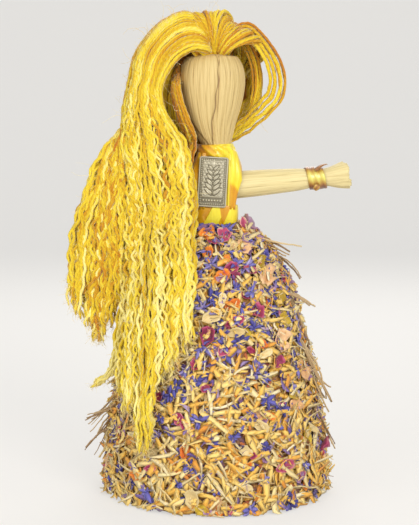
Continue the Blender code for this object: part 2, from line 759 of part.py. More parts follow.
def make_petal(name, tips, angle_deg, height_share, length, width, turn_deg, material, parent):
    """One large cupped petal lying on the crust."""
    z = height_share * SKIRT_HEIGHT
    middle, out, across, up = on_skirt(tips, math.radians(angle_deg), z, GAP)
    turn = math.radians(turn_deg)
    along = up * math.cos(turn) + across * math.sin(turn)
    side = across * math.cos(turn) - up * math.sin(turn)
    outer, inner = [], []
    for i in range(6):
        share = i / 5 * 2 - 1
        half = width / 2 * math.sqrt(max(1 - (0.93 * share) ** 2, 0)) * (1 - 0.18 * share)
        row_outer, row_inner = [], []
        for j in range(5):
            offset = j / 4 * 2 - 1
            cup = (share**2 * length + offset**2 * width) * 0.1
            place = middle + along * share * length / 2 + side * offset * half + out * cup
            row_inner.append(place)
            row_outer.append(place + out * PETAL_WALL)
        outer.append(row_outer)
        inner.append(row_inner)
    solid = sheet_solid(name, outer, inner, material, parent)
    return solid


def make_stalk(name, tips, angle_deg, height_share, length, lift_deg, turn_deg, material, parent):
    """Dry stalk caught in the crust by its upper end, its lower end standing away."""
    z = height_share * SKIRT_HEIGHT
    start, out, across, up = on_skirt(tips, math.radians(angle_deg), z, GAP + STALK_RADIUS)
    turn, rise = math.radians(turn_deg), math.radians(lift_deg)
    down = across * math.sin(turn) - up * math.cos(turn)
    sides, rows = 6, 5
    rings = []
    for i in range(rows):
        share = i / (rows - 1)
        swing = rise * share
        centre = start + (down * math.cos(swing) + out * math.sin(swing)) * length * share
        along = (down * math.cos(2 * swing) + out * math.sin(2 * swing)).normalized()
        third = along.cross(out).normalized()
        second = third.cross(along)
        radius = STALK_RADIUS * (1 - 0.45 * share)
        rings.append([
            centre + (second * math.cos(a) + third * math.sin(a)) * radius
            for a in (2 * math.pi * k / sides for k in range(sides))
        ])
    return loft(name, rings, material, parent)


# Yarn hair

# Guides of the hair as (across, height, depth). Across is a share of HAIR_REACH and depth one
# of HEAD_HALF_DEPTH, minus in front. Height is 0 at the floor, 1 at the neck and 2 at the hair's top
FRONT_INNER_SHARES = [
    (-0.085, 1.76, -0.7), (-0.19, 1.80, -0.8), (-0.28, 1.72, -0.8), (-0.345, 1.6, -0.8), (-0.37, 1.46, -0.8),
    (-0.35, 1.32, -0.85), (-0.28, 1.17, -0.95), (-0.19, 1.03, -1.1), (-0.15, 0.95, -1.2), (-0.145, 0.85, -1.2),
    (-0.145, 0.72, -1.2), (-0.145, 0.58, -1.2), (-0.155, 0.45, -1.2), (-0.175, 0.33, -1.2), (-0.2, 0.22, -1.2),
]
FRONT_MIDDLE_SHARES = [
    (-0.118, 1.81, -0.58), (-0.21, 1.89, -0.7), (-0.33, 1.83, -0.75), (-0.42, 1.67, -0.75), (-0.455, 1.49, -0.75),
    (-0.46, 1.32, -0.8), (-0.45, 1.14, -0.9), (-0.44, 1.0, -1.05), (-0.42, 0.92, -1.1), (-0.4, 0.78, -1.1),
    (-0.39, 0.66, -1.1), (-0.395, 0.53, -1.1), (-0.405, 0.4, -1.1), (-0.41, 0.28, -1.1), (-0.415, 0.165, -1.1),
]
FRONT_OUTER_SHARES = [
    (-0.142, 1.85, -0.3), (-0.22, 1.94, -0.45), (-0.35, 1.88, -0.5), (-0.46, 1.71, -0.5), (-0.505, 1.5, -0.5),
    (-0.53, 1.32, -0.5), (-0.545, 1.13, -0.6), (-0.55, 1.0, -0.9), (-0.55, 0.91, -1.0), (-0.575, 0.77, -0.95),
    (-0.6, 0.64, -0.9), (-0.61, 0.51, -0.9), (-0.6, 0.39, -0.9), (-0.58, 0.29, -0.9), (-0.56, 0.2, -0.9),
]
SIDE_FRONT_SHARES = [
    (-0.155, 1.87, -0.12), (-0.23, 1.95, -0.15), (-0.36, 1.89, -0.2), (-0.475, 1.72, -0.3), (-0.53, 1.51, -0.35),
    (-0.555, 1.32, -0.35), (-0.585, 1.13, -0.45), (-0.605, 1.0, -0.8), (-0.62, 0.9, -0.95), (-0.655, 0.77, -0.9),
    (-0.69, 0.64, -0.85), (-0.715, 0.53, -0.8), (-0.73, 0.44, -0.75),
]
SIDE_OUTER_SHARES = [
    (-0.155, 1.88, 0.1), (-0.24, 1.955, 0.2), (-0.375, 1.89, 0.35), (-0.49, 1.72, 0.45), (-0.55, 1.51, 0.5),
    (-0.58, 1.32, 0.45), (-0.62, 1.15, 0.2), (-0.71, 1.03, -0.2), (-0.79, 0.96, -0.6), (-0.88, 0.87, -0.8),
    (-0.96, 0.77, -0.8), (-1, 0.67, -0.75), (-1, 0.56, -0.7),
]
SIDE_BACK_OUTER_SHARES = [
    (-0.15, 1.87, 0.36), (-0.23, 1.945, 0.5), (-0.365, 1.88, 0.65), (-0.475, 1.71, 0.8), (-0.535, 1.51, 0.9),
    (-0.565, 1.32, 0.9), (-0.6, 1.14, 0.95), (-0.645, 0.99, 1.05), (-0.705, 0.9, 1.05), (-0.775, 0.8, 1.0),
    (-0.84, 0.71, 0.95), (-0.88, 0.63, 0.9),
]
SIDE_BACK_INNER_SHARES = [
    (-0.118, 1.85, 0.62), (-0.19, 1.93, 1.0), (-0.3, 1.87, 1.35), (-0.38, 1.7, 1.5), (-0.435, 1.51, 1.6),
    (-0.465, 1.32, 1.6), (-0.485, 1.13, 1.55), (-0.51, 0.98, 1.5), (-0.55, 0.88, 1.45), (-0.6, 0.76, 1.45),
    (-0.64, 0.64, 1.45), (-0.67, 0.54, 1.45),
]
BACK_LEFT_SHARES = [
    (-0.095, 1.83, 0.78), (-0.155, 1.9, 1.2), (-0.24, 1.83, 1.6), (-0.325, 1.67, 1.75), (-0.365, 1.49, 1.8),
    (-0.39, 1.31, 1.8), (-0.41, 1.12, 1.8), (-0.44, 0.97, 1.75), (-0.475, 0.87, 1.7), (-0.52, 0.75, 1.7),
    (-0.55, 0.63, 1.7), (-0.555, 0.5, 1.7), (-0.53, 0.38, 1.7),
]
BACK_MIDDLE_SHARES = [
    (0.0, 1.83, 0.98), (-0.005, 1.89, 1.45), (-0.015, 1.81, 1.75), (-0.025, 1.66, 1.85), (-0.035, 1.48, 1.85),
    (-0.055, 1.31, 1.8), (-0.09, 1.12, 1.75), (-0.14, 0.97, 1.75), (-0.18, 0.87, 1.75), (-0.22, 0.75, 1.75),
    (-0.25, 0.62, 1.75), (-0.27, 0.47, 1.75), (-0.275, 0.33, 1.75),
]
BACK_RIGHT_SHARES = [
    (0.118, 1.82, 0.62), (0.18, 1.88, 0.95), (0.24, 1.79, 1.2), (0.25, 1.64, 1.4), (0.25, 1.48, 1.5),
    (0.225, 1.33, 1.5), (0.165, 1.17, 1.45), (0.09, 1.04, 1.5), (0.04, 0.93, 1.55), (0.01, 0.8, 1.55),
    (-0.01, 0.66, 1.55), (-0.03, 0.52, 1.55), (-0.05, 0.4, 1.55),
]
LOOP_OUTER_SHARES = [
    (0.2, 1.88, -0.3), (0.31, 1.8, -0.25), (0.375, 1.66, -0.15), (0.4, 1.5, 0), (0.38, 1.35, 0.15),
    (0.31, 1.22, 0.35), (0.215, 1.13, 0.6), (0.1, 1.06, 0.9), (-0.02, 1.0, 1.0), (-0.12, 0.93, 1.0),
]
LOOP_INNER_SHARES = [
    (0.14, 1.85, 0.2), (0.23, 1.76, 0.3), (0.262, 1.62, 0.4), (0.262, 1.46, 0.45), (0.245, 1.33, 0.5),
    (0.21, 1.25, 0.58),
]
LOOP_BACK_SHARES = [
    (0.15, 1.83, 0.7), (0.28, 1.76, 0.8), (0.335, 1.6, 0.9), (0.335, 1.45, 0.95), (0.3, 1.31, 1.0),
    (0.23, 1.2, 1.15), (0.16, 1.13, 1.3),
]


def hair_height(share):
    if share <= 1:
        return share * NECK_Z
    return NECK_Z + (share - 1) * (HAIR_TOP_Z - NECK_Z)


def hair_point(shares):
    across, height, depth = shares
    return Vector((across * HAIR_REACH, depth * HEAD_HALF_DEPTH, hair_height(height)))


def across_guides(guides, u, v):
    """Point u of the way across a fan of two or three guides, v of the way down them."""
    points = [through([hair_point(g) for g in guide], v) for guide in guides]
    if len(points) == 2:
        return points[0].lerp(points[1], u)
    a, b, c = points
    return a * (2 * (u - 0.5) * (u - 1)) + b * (4 * u * (1 - u)) + c * (2 * u * (u - 0.5))


def draped(points, shares, pad, from_share):
    """The line moved out from the body where it lies too close, with the step out smoothed."""
    needs = []
    for p, share in zip(points, shares):
        want = body_depth(p.x, p.z, pad) if share > from_share else 0
        needs.append(max(0, want - abs(p.y)))
    eased = []
    for i in range(len(points)):
        near = [max(needs[max(j - 1, 0):j + 2]) for j in range(max(i - 1, 0), min(i + 2, len(points)))]
        eased.append(sum(near) / len(near))
    return [
        Vector((p.x, math.copysign(abs(p.y) + max(grow, need), p.y), p.z))
        for p, grow, need in zip(points, eased, needs)
    ]


def lock_ring(left, right, along, thickness, sides):
    """Ring of a flat lock between its two edges; ribs run down it like yarn."""
    half = (right - left) / 2
    normal = along.cross(half).normalized()
    ring = []
    for k in range(sides):
        a = 2 * math.pi * k / sides
        rib = 1 if k % 2 else 0.86
        ring.append((left + right) / 2 + half * math.cos(a) + normal * math.sin(a) * thickness * rib)
    return ring


# Height of the hair cap's rim at angles round from the front, as a share of CAP_HEIGHT
CAP_RIM_SHARES = [
    (-180, 0.08), (-120, 0.04), (-60, 0.06), (-42, 0.1), (-28, 0.37), (0, 0.37), (28, 0.37), (60, 0.4),
    (100, 0.34), (140, 0.16), (180, 0.08),
]


def cap_floor():
    return HAIR_TOP_Z - CAP_HEIGHT


def cap_radii(x, y):
    """The cap's outer reach across and in depth on the side of a point."""
    return CAP_LEFT if x < 0 else CAP_RIGHT, CAP_FRONT if y < 0 else CAP_BACK


def cap_rim(angle):
    return cap_floor() + CAP_HEIGHT * table_value(CAP_RIM_SHARES, math.degrees(angle))


def clears_cap(ring):
    """Whether a lock's end lies below the cap's rim."""
    for p in ring:
        across, depth = cap_radii(p.x, p.y)
        if p.z > cap_rim(math.atan2(p.x / across, -p.y / depth)) - GAP / 2:
            return False
    return True


def make_hair_cap(material, parent):
    """The mass of yarn that spreads over the crown, open below for the head."""
    columns, rows = 26, 5
    outer, inner = [], []
    roof = CAP_HEIGHT - CAP_ROOF
    for i in range(rows):
        outer_ring, inner_ring = [], []
        for k in range(columns):
            angle = 2 * math.pi * k / columns - math.pi
            s, c = math.sin(angle), -math.cos(angle)
            across, depth = cap_radii(s, c)
            rim = cap_rim(angle) - cap_floor()
            low, inner_low = math.asin(rim / CAP_HEIGHT), math.asin(rim / roof)
            rib = 1 if k % 2 else 0.955
            a = mix(low, math.radians(88), i / (rows - 1))
            z = cap_floor() + CAP_HEIGHT * math.sin(a)
            outer_ring.append(Vector((s * across, c * depth, 0)) * math.cos(a) * rib + Vector((0, 0, z)))
            a = mix(inner_low, math.radians(88), i / (rows - 1))
            z = cap_floor() + roof * math.sin(a)
            across, depth = across - CAP_SIDE_WALL, depth - (CAP_FRONT_WALL if c < 0 else CAP_SIDE_WALL)
            inner_ring.append(Vector((s * across, c * depth, 0)) * math.cos(a) + Vector((0, 0, z)))
        outer.append(outer_ring)
        inner.append(inner_ring)
    return ring_wall("hair_cap", outer + inner[::-1], material, parent)


def lock_lines(guides, edges, start, end, stations, from_share):
    """The two edges of a lock from start to end, moved out from the body."""
    lines = []
    for u in edges:
        shares = [mix(start, end, i / (stations - 1)) for i in range(stations)]
        line = [across_guides(guides, u, v) for v in shares]
        lines.append(draped(line, shares, LOCK_HALF_THICKNESS + 2 * GAP, from_share))
    return lines


def spaced(left, right, space):
    """Both edges drawn in by half the space between two locks."""
    drawn = []
    for a, b in zip(left, right):
        step = (b - a).normalized() * space / 2
        drawn.append((a + step, b - step))
    return drawn


def make_fall(name, guides, count, ends, stations, thick_share, material, parent):
    """Locks side by side across a fan of guides, each cut off at its own share of the length."""
    sides = 8
    from_share = 0.4
    for n in range(count):
        edges = (n / count, (n + 1) / count)
        start = 0
        rings = []
        while not rings:
            left, right = lock_lines(guides, edges, start, ends[n], stations, from_share)
            trial = []
            for i, (a, b) in enumerate(spaced(left, right, LOCK_SPACE)):
                before, after = max(i - 1, 0), min(i + 1, stations - 1)
                along = (left[after] + right[after] - left[before] - right[before]).normalized()
                share = i / (stations - 1)
                swell = min(1, 0.8 + 2.5 * share) * (1 - 0.35 * max(0, share - 0.8) / 0.2)
                thickness = min(LOCK_HALF_THICKNESS * swell, (b - a).length * thick_share)
                trial.append(lock_ring(a, b, along, thickness, sides))
            if clears_cap(trial[0]):
                rings = trial
            start += 0.001
        loft(f"{name}_{n + 1}", rings, material, parent)


def make_loop(name, guide, stations, material, parent):
    """One loose loop of yarn that leaves the crown, swings out and goes behind the neck."""
    sides = 8
    line = [hair_point(g) for g in guide]
    start = 0
    rings = []
    while not rings:
        points = [through(line, mix(start, 1, i / (stations - 1))) for i in range(stations)]
        trial = []
        for i, p in enumerate(points):
            along = (points[min(i + 1, stations - 1)] - points[max(i - 1, 0)]).normalized()
            side = along.cross(Vector((0, 1, 0))).normalized()
            out = side.cross(along)
            share = i / (stations - 1)
            swell = 0.75 + 0.25 * math.sin(math.pi * share)
            trial.append([
                p + (out * math.cos(a) + side * math.sin(a)) * LOOP_HALF_WIDTH * swell * (1 if k % 2 else 0.82)
                for k, a in enumerate(2 * math.pi * j / sides for j in range(sides))
            ])
        if clears_cap(trial[0]):
            rings = trial
        start += 0.001
    return loft(name, rings, material, parent)


def make_hair_root(material, parent):
    """The tied stub of yarn, from the bore in the head up to the cap."""
    sides = 14
    floor = CROWN_Z - HUSK_WALL - CORE_BORE_DEPTH
    top = HAIR_TOP_Z - CAP_ROOF
    rings = []
    for r, z in ((ROOT_RADIUS, floor), (ROOT_RADIUS, CROWN_Z), (ROOT_RADIUS, top - ROOT_RADIUS * 0.75),
                 (ROOT_RADIUS * 0.5, top - ROOT_RADIUS * 0.25)):
        rings.append([
            Vector((head_shift(1), 0, z)) + around(2 * math.pi * k / sides, r * (1 if k % 2 else 0.93), r)
            for k in range(sides)
        ])
    return loft("hair_root", rings, material, parent)


def make_ties(material, parent):
    """The three threads: round the yarn in the head, round the neck and round the waist."""
    root = ROOT_RADIUS + GAP
    wound_thread("hair_tie", head_shift(1), CROWN_Z - CORE_BORE_DEPTH / 2, root, root, 3, material, parent)
    neck = thread_seat(NECK_RADIUS)
    wound_thread("neck_tie", 0, NECK_Z, neck, neck, 2, material, parent)
    across, depth = thread_seat(WAIST_HALF_WIDTH), thread_seat(BODICE_HALF_DEPTH)
    wound_thread("waist_tie", 0, WAIST_Z - WAIST_TIE_DROP, across, depth, 3, material, parent)


def make_bodice(ribbon, pewter, parent):
    make_waist_band(ribbon, parent)
    make_neck_band(ribbon, parent)
    for name, side in (("left", -1), ("right", 1)):
        make_strap(f"ribbon_strap_{name}", side, ribbon, parent)
    for name, side in (("front", -1), ("back", 1)):
        make_chest_panel(f"ribbon_panel_{name}", side, ribbon, parent)
    make_charm(pewter, parent)


def make_arms(husk, inner_husk, ribbon, parent):
    make_arm_core(inner_husk, parent)
    for name, side in (("left", -1), ("right", 1)):
        make_sleeve(f"arm_leaf_{name}", side, husk, parent)
        make_wrist_tie(f"wrist_ribbon_{name}", side, ribbon, parent)
        make_knot(f"wrist_knot_{name}", side, ribbon, parent)


def make_skirt(husk, crust, parent):
    """Leaves and petal coats; gives back the petal tips, on which the larger petals and stalks lie."""
    tips = []
    leaves = 8
    for n in range(leaves):
        make_skirt_leaf(f"skirt_leaf_{n + 1}", n, leaves, husk, parent)
    levels = (CRUST_HEM_RISE, SKIRT_HEIGHT * 0.3, SKIRT_HEIGHT * 0.62, SKIRT_HEIGHT * 0.96)
    tiers = (("lower", 6, 52), ("middle", 7, 44), ("upper", 8, 32))
    for n, (name, rows, columns) in enumerate(tiers):
        low = levels[n] + (GAP if n else 0)
        make_crust(f"petal_coat_{name}", low, levels[n + 1], rows, columns, n + 3, tips, crust, parent)
    return tips


# Angle round from the front towards +X, height share, length share, width share and turn of each petal
ROSE_PETAL_SHARES = {
    "rose_petal_1": (22, 0.92, 1.2, 1, 15), "rose_petal_2": (20, 0.69, 1.1, 1.1, -30),
    "rose_petal_3": (9, 0.58, 1.1, 0.9, 40), "rose_petal_4": (66, 0.14, 1.3, 1.1, 25),
}


def make_blooms(tips, rose, parent):
    for name, (angle, height, long, wide, turn) in ROSE_PETAL_SHARES.items():
        size = ROSE_PETAL_SIZE
        make_petal(name, tips, angle, height, size * long, size * wide, turn, rose, parent)


# Angle, height share, length share, lift and turn of each stalk that stands off the skirt
STALK_SHARES = {
    "stalk_right_1": (84, 0.93, 1.1, 22, 12), "stalk_right_2": (80, 0.79, 0.75, 24, -20),
    "stalk_right_3": (86, 0.5, 0.8, 20, 8), "stalk_left_1": (-84, 0.3, 1, 40, 8),
    "stalk_left_2": (-78, 0.24, 0.9, 36, -12),
}


def make_stalks(tips, material, parent):
    for name, (angle, height, long, lift, turn) in STALK_SHARES.items():
        make_stalk(name, tips, angle, height, STALK_LENGTH * long, lift, turn, material, parent)


def make_hair(material, parent):
    make_hair_root(material, parent)
    make_hair_cap(material, parent)
    front = (FRONT_INNER_SHARES, FRONT_MIDDLE_SHARES, FRONT_OUTER_SHARES)
    make_fall("lock_front", front, 4, (0.94, 0.9, 0.95, 0.9), 15, 0.9, material, parent)
    side = (SIDE_FRONT_SHARES, SIDE_OUTER_SHARES)
    make_fall("lock_side", side, 3, (1, 0.97, 1), 13, 0.9, material, parent)
    side_back = (SIDE_BACK_OUTER_SHARES, SIDE_BACK_INNER_SHARES)
    make_fall("lock_side_back", side_back, 2, (1, 0.95), 12, 0.8, material, parent)
    back = (BACK_LEFT_SHARES, BACK_MIDDLE_SHARES, BACK_RIGHT_SHARES)
    make_fall("lock_back", back, 4, (1, 0.94, 1, 0.92), 13, 0.5, material, parent)
    make_loop("loop_outer", LOOP_OUTER_SHARES, 13, material, parent)
    make_loop("loop_inner", LOOP_INNER_SHARES, 9, material, parent)
    make_loop("loop_back", LOOP_BACK_SHARES, 10, material, parent)


def main():
    clear_scene()
    husk = make_material("husk", HUSK_COLOUR, 0.6)
    inner_husk = make_material("inner_husk", INNER_HUSK_COLOUR, 0.7)
    skirt_husk = make_material("skirt_husk", SKIRT_HUSK_COLOUR, 0.7)
    yarn = make_material("yarn", YARN_COLOUR, 0.85)
    ribbon = make_material("satin_ribbon", RIBBON_COLOUR, 0.3)
    pewter = make_material("pewter", PEWTER_COLOUR, 0.4, 1.0)
    crust = make_material("petal_crust", CRUST_COLOUR, 0.8)
    rose = make_material("rose_petal", ROSE_COLOUR, 0.7)
    straw = make_material("dry_stalk", STALK_COLOUR, 0.8)
    thread = make_material("thread", THREAD_COLOUR, 0.8)

    doll = bpy.data.objects.new("doll_axis", None)
    bpy.context.scene.collection.objects.link(doll)
    doll.location = (DOLL_X, 0, 0)
    arms = bpy.data.objects.new("arm_axis", None)
    bpy.context.scene.collection.objects.link(arms)
    arms.parent = doll
    arms.location = (0, 0, ARM_Z)
    arms.rotation_euler = (0, -math.radians(ARM_TILT_DEG), 0)

    make_husk_leaf("husk_leaf_front", -1, husk, doll)
    make_husk_leaf("husk_leaf_back", 1, husk, doll)
    make_head_core(inner_husk, doll)
    make_chest_filler(inner_husk, doll)
    make_ties(thread, doll)
    make_bodice(ribbon, pewter, doll)
    make_arms(husk, inner_husk, ribbon, arms)
    tips = make_skirt(skirt_husk, crust, doll)
    make_blooms(tips, rose, doll)
    make_stalks(tips, straw, doll)
    make_hair(yarn, doll)
    total = 0
    for obj in bpy.data.objects:
        if obj.type == "MESH":
            obj.data.calc_loop_triangles()
            total += len(obj.data.loop_triangles)
    print("nodes", sum(obj.type == "MESH" for obj in bpy.data.objects), "triangles", total)


main()
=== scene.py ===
import json
import math

import bpy
import numpy as np
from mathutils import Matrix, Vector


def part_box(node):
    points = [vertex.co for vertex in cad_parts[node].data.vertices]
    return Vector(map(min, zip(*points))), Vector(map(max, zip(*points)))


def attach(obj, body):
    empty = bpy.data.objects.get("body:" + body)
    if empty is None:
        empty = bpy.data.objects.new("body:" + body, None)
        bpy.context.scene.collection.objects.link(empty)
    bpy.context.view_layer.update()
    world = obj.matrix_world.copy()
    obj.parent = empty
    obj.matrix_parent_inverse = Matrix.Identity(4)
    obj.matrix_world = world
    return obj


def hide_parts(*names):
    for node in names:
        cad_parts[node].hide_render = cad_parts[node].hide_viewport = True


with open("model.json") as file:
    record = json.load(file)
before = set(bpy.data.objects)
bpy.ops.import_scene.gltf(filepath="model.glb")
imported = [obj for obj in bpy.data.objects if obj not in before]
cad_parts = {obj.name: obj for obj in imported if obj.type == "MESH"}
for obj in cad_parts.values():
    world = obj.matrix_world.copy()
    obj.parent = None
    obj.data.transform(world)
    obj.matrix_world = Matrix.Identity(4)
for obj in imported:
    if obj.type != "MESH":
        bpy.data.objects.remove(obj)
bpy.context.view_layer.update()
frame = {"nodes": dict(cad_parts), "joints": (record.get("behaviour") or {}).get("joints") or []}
print("frame loaded")

mm = 0.001
turnFull = 2 * math.pi
hinge = frame["joints"][0]["pos_m"]  # the arm roll's axis crosses the doll's own axis here

# The doll's sizes, the same as in the part's source
doll = dict(
    axisX=hinge[0], waistZ=162 * mm, armZ=hinge[2], neckZ=206 * mm, crownZ=260.6 * mm, hairTopZ=290 * mm,
    hemRadius=63 * mm, skirtTop=13.63 * mm, waistWide=11.5 * mm, bodiceDeep=9.5 * mm, neckRadius=8.2 * mm,
    headWide=18.4 * mm, headDeep=15 * mm, headLean=3.2 * mm, handReach=80 * mm, hairReach=92 * mm,
    armRadius=8 * mm, wristRadius=5.1 * mm, handRadius=7 * mm, armTilt=math.radians(5),
    gap=0.35 * mm, huskWall=0.8 * mm, leafWall=0.9 * mm, ribbonWall=0.6 * mm, floor=0.3 * mm,
)


def srgb(red, green, blue):  # a colour from 0 to 255 as the light it stands for
    c = np.array([red, green, blue], float) / 255
    return tuple(np.where(c <= 0.04045, c / 12.92, ((c + 0.055) / 1.055) ** 2.4))


# Finishes


class Wire:
    # One output of a finish's node tree; arithmetic on it adds Math nodes
    def __init__(self, finish, socket):
        self.finish, self.socket = finish, socket

    def math(self, operation, *values):
        return self.finish.node("ShaderNodeMath", dict(operation=operation), values)

    def __add__(self, other):
        return self.math("ADD", self, other)

    def __sub__(self, other):
        return self.math("SUBTRACT", self, other)

    def __rsub__(self, other):
        return self.math("SUBTRACT", other, self)

    def __mul__(self, other):
        return self.math("MULTIPLY", self, other)

    def __pow__(self, other):
        return self.math("POWER", self, other)

    __radd__, __rmul__ = __add__, __mul__

    def wave(self):  # 0 to 1 and back, once for each whole number passed
        return self.math("SINE", self * turnFull) * 0.5 + 0.5

    def step(self, low, high):  # 0 below low, 1 above high, smooth between
        settings = dict(interpolation_type="SMOOTHSTEP")
        return self.finish.node("ShaderNodeMapRange", settings, {0: self, 1: low, 2: high})


class Finish:
    # A material with one Principled shader; node() adds any other node
    def __init__(self, name, **constants):
        self.material = bpy.data.materials.new(name)
        self.material.use_nodes = True
        self.tree = self.material.node_tree
        self.shader = self.tree.nodes["Principled BSDF"]
        for socket, value in constants.items():
            self.shader.inputs[socket.replace("_", " ")].default_value = value

    def node(self, kind, settings={}, values=(), out=0):
        node = self.tree.nodes.new(kind)
        for key, value in settings.items():
            if key == "stops":
                ends = node.color_ramp.elements
                for end, (place, colour) in zip(ends, (value[0], value[-1])):
                    end.position, end.color = place, (*colour, 1)
                for place, colour in value[1:-1]:
                    ends.new(place).color = (*colour, 1)
            else:
                setattr(node, key, value)
        for key, value in (values.items() if isinstance(values, dict) else enumerate(values)):
            if isinstance(value, Wire):
                self.tree.links.new(value.socket, node.inputs[key])
            else:
                node.inputs[key].default_value = value
        return Wire(self, node.outputs[out])

    def feed(self, socket, wire):
        self.tree.links.new(wire.socket, self.shader.inputs[socket])

    def trait(self, name):  # a number kept with the mesh
        return self.node("ShaderNodeAttribute", dict(attribute_name=name), out=2)

    def along(self, across, length):  # the piece's own map, stretched
        spread = self.node("ShaderNodeUVMap", dict(uv_map="lay"))
        return self.node("ShaderNodeVectorMath", dict(operation="MULTIPLY"), [spread, (across, length, 1)])

    def part(self, vector, which):  # one number of a vector
        return self.node("ShaderNodeSeparateXYZ", {}, [vector], which)

    def inPlace(self):
        return self.node("ShaderNodeTexCoord", out=3)

    def noise(self, vector, scale, detail=3, rough=0.55):
        return self.node("ShaderNodeTexNoise", {}, {"Vector": vector, "Scale": scale, "Detail": detail,
                                                    "Roughness": rough})

    def ramp(self, factor, *stops):
        return self.node("ShaderNodeValToRGB", dict(stops=stops), [factor])

    def mix(self, factor, first, second, blend="MIX"):
        first, second = ((*c, 1) if isinstance(c, tuple) else c for c in (first, second))
        settings = dict(data_type="RGBA", blend_type=blend)
        return self.node("ShaderNodeMix", settings, {0: factor, 6: first, 7: second}, 2)

    def bump(self, height, depth, strength=1.0):
        values = {"Height": height, "Distance": depth, "Strength": strength}
        self.feed("Normal", self.node("ShaderNodeBump", {}, values))


def huskFinish(name, pale, mid, dark, grain=1.0):
    # Dry husk: fine veins run down the leaf, with darker streaks between them and painted shade in the grooves of the
    # pleats
    finish = Finish(name, Roughness=0.62, Sheen_Weight=0.12)
    veins = finish.noise(finish.along(1500 * grain, 14), 1, 4)
    streaks = finish.noise(finish.along(420 * grain, 9), 1, 3)
    patches = finish.noise(finish.inPlace(), 90, 2)
    # the pleat shading trait paints shade into the grooves: lower values give darker husk
    tone = veins * 0.46 + streaks * 0.3 + patches * 0.14 + finish.trait("groove") * 0.46 - 0.2
    finish.feed("Base Color", finish.ramp(tone, (0.16, dark), (0.4, mid), (0.62, pale)))
    finish.feed("Roughness", streaks * 0.25 + 0.45)
    finish.bump(veins * 0.6 + streaks * 0.4, 0.4 * mm, 0.9)
    return finish.material


def yarnFinish():
    # Two plies wound round each other, each strand dyed a little apart from the next
    finish = Finish("softYarn", Roughness=0.8, Sheen_Weight=0.5, Sheen_Roughness=0.4)
    tint, lay, place = finish.trait("tone"), finish.along(1, 1), finish.inPlace()
    ply = (finish.part(lay, 0) * 2 + finish.part(lay, 1) * 330).wave()
    fluff, cloud = finish.noise(place, 2400, 2), finish.noise(place, 70, 2)
    shade = tint + cloud * 0.4 + ply * 0.1 + fluff * 0.16 - 0.33
    finish.feed("Base Color", finish.ramp(
        shade, (0, srgb(182, 112, 4)), (0.22, srgb(201, 148, 8)), (0.45, srgb(216, 182, 20)),
        (0.7, srgb(231, 206, 50)), (1, srgb(246, 232, 146))))
    finish.bump(ply * 0.7 + fluff * 0.3, 0.3 * mm, 0.7)
    return finish.material


def fuzzFinish():
    # Single fibres, paler than the yarn because light comes through them
    finish = Finish("looseFibre", Roughness=0.7, Sheen_Weight=0.4)
    finish.feed("Base Color", finish.ramp(finish.trait("tone"), (0, srgb(240, 205, 90)), (1, srgb(252, 240, 190))))
    return finish.material


def petalFinish(name, *stops, roughness=0.6, sheen=0.15):
    # Each petal has its own tone; its foot is deeper, its veins paler
    finish = Finish(name, Roughness=roughness, Sheen_Weight=sheen)
    lay = finish.along(1, 1)
    veins = finish.noise(finish.along(14, 1.6), 1, 3)
    down = finish.part(lay, 1)
    tone = finish.trait("tone") * 0.8 + veins * 0.34 + down * 0.12 - 0.16
    finish.feed("Base Color", finish.ramp(tone, *stops))
    finish.feed("Roughness", veins * 0.3 + roughness - 0.15)
    finish.bump(veins, 0.3 * mm, 0.7)
    return finish.material


def satinFinish(name, *stops):
    # Fine warp threads across the sheen; the tone trait is painted light and shade, amber where the folds turn into
    # shade and lemon where they face the light
    finish = Finish(name, Roughness=0.3, Sheen_Weight=0.3, Anisotropic=0.5, Specular_IOR_Level=0.6)
    warp = finish.noise(finish.along(2600, 60), 1, 2)
    soft = finish.noise(finish.inPlace(), 150, 2)
    shade = finish.trait("tone") + soft * 0.35 + warp * 0.2 - 0.28
    finish.feed("Base Color", finish.ramp(shade, *stops))
    finish.feed("Roughness", warp * 0.2 + 0.2)
    finish.bump(warp, 0.06 * mm, 0.5)
    return finish.material


def pewterFinish():
    # Cast plate: raised work rubbed bright, sunk ground left dark
    finish = Finish("castPewter", Metallic=0.6, Roughness=0.42)
    relief, place = finish.trait("relief"), finish.inPlace()
    grit = finish.noise(place, 2400, 4)
    cloud = finish.noise(place, 260, 3)
    rubbed = relief * 0.85 + grit * 0.3 + cloud * 0.25 - 0.25
    finish.feed("Base Color", finish.ramp(rubbed, (0.0, srgb(112, 107, 90)), (0.35, srgb(154, 148, 127)),
                                          (0.85, srgb(192, 186, 165))))
    finish.feed("Roughness", 0.62 - rubbed * 0.25)
    finish.bump(grit, 0.08 * mm, 0.5)
    return finish.material


def bedFinish():
    # What shows deep between the petals: small scraps of all their colours, painted darker as the shade down there,
    # over a painted dark brown shade
    finish = Finish("petalBed", Roughness=0.85)
    place = finish.inPlace()
    scraps = finish.node("ShaderNodeTexVoronoi", {}, {"Vector": place, "Scale": 420.0}, 1)
    hue = finish.part(scraps, 0)
    grit = finish.noise(place, 900, 4)
    colour = finish.ramp(hue, (0, srgb(140, 92, 36)), (0.3, srgb(196, 138, 50)), (0.55, srgb(112, 84, 116)),
                         (0.75, srgb(206, 156, 74)), (1, srgb(92, 76, 128)))
    finish.feed("Base Color", finish.mix(grit.step(0.3, 0.6), srgb(124, 84, 58), colour))
    finish.bump(grit, 0.8 * mm, 1.0)
    return finish.material


# Mesh tools


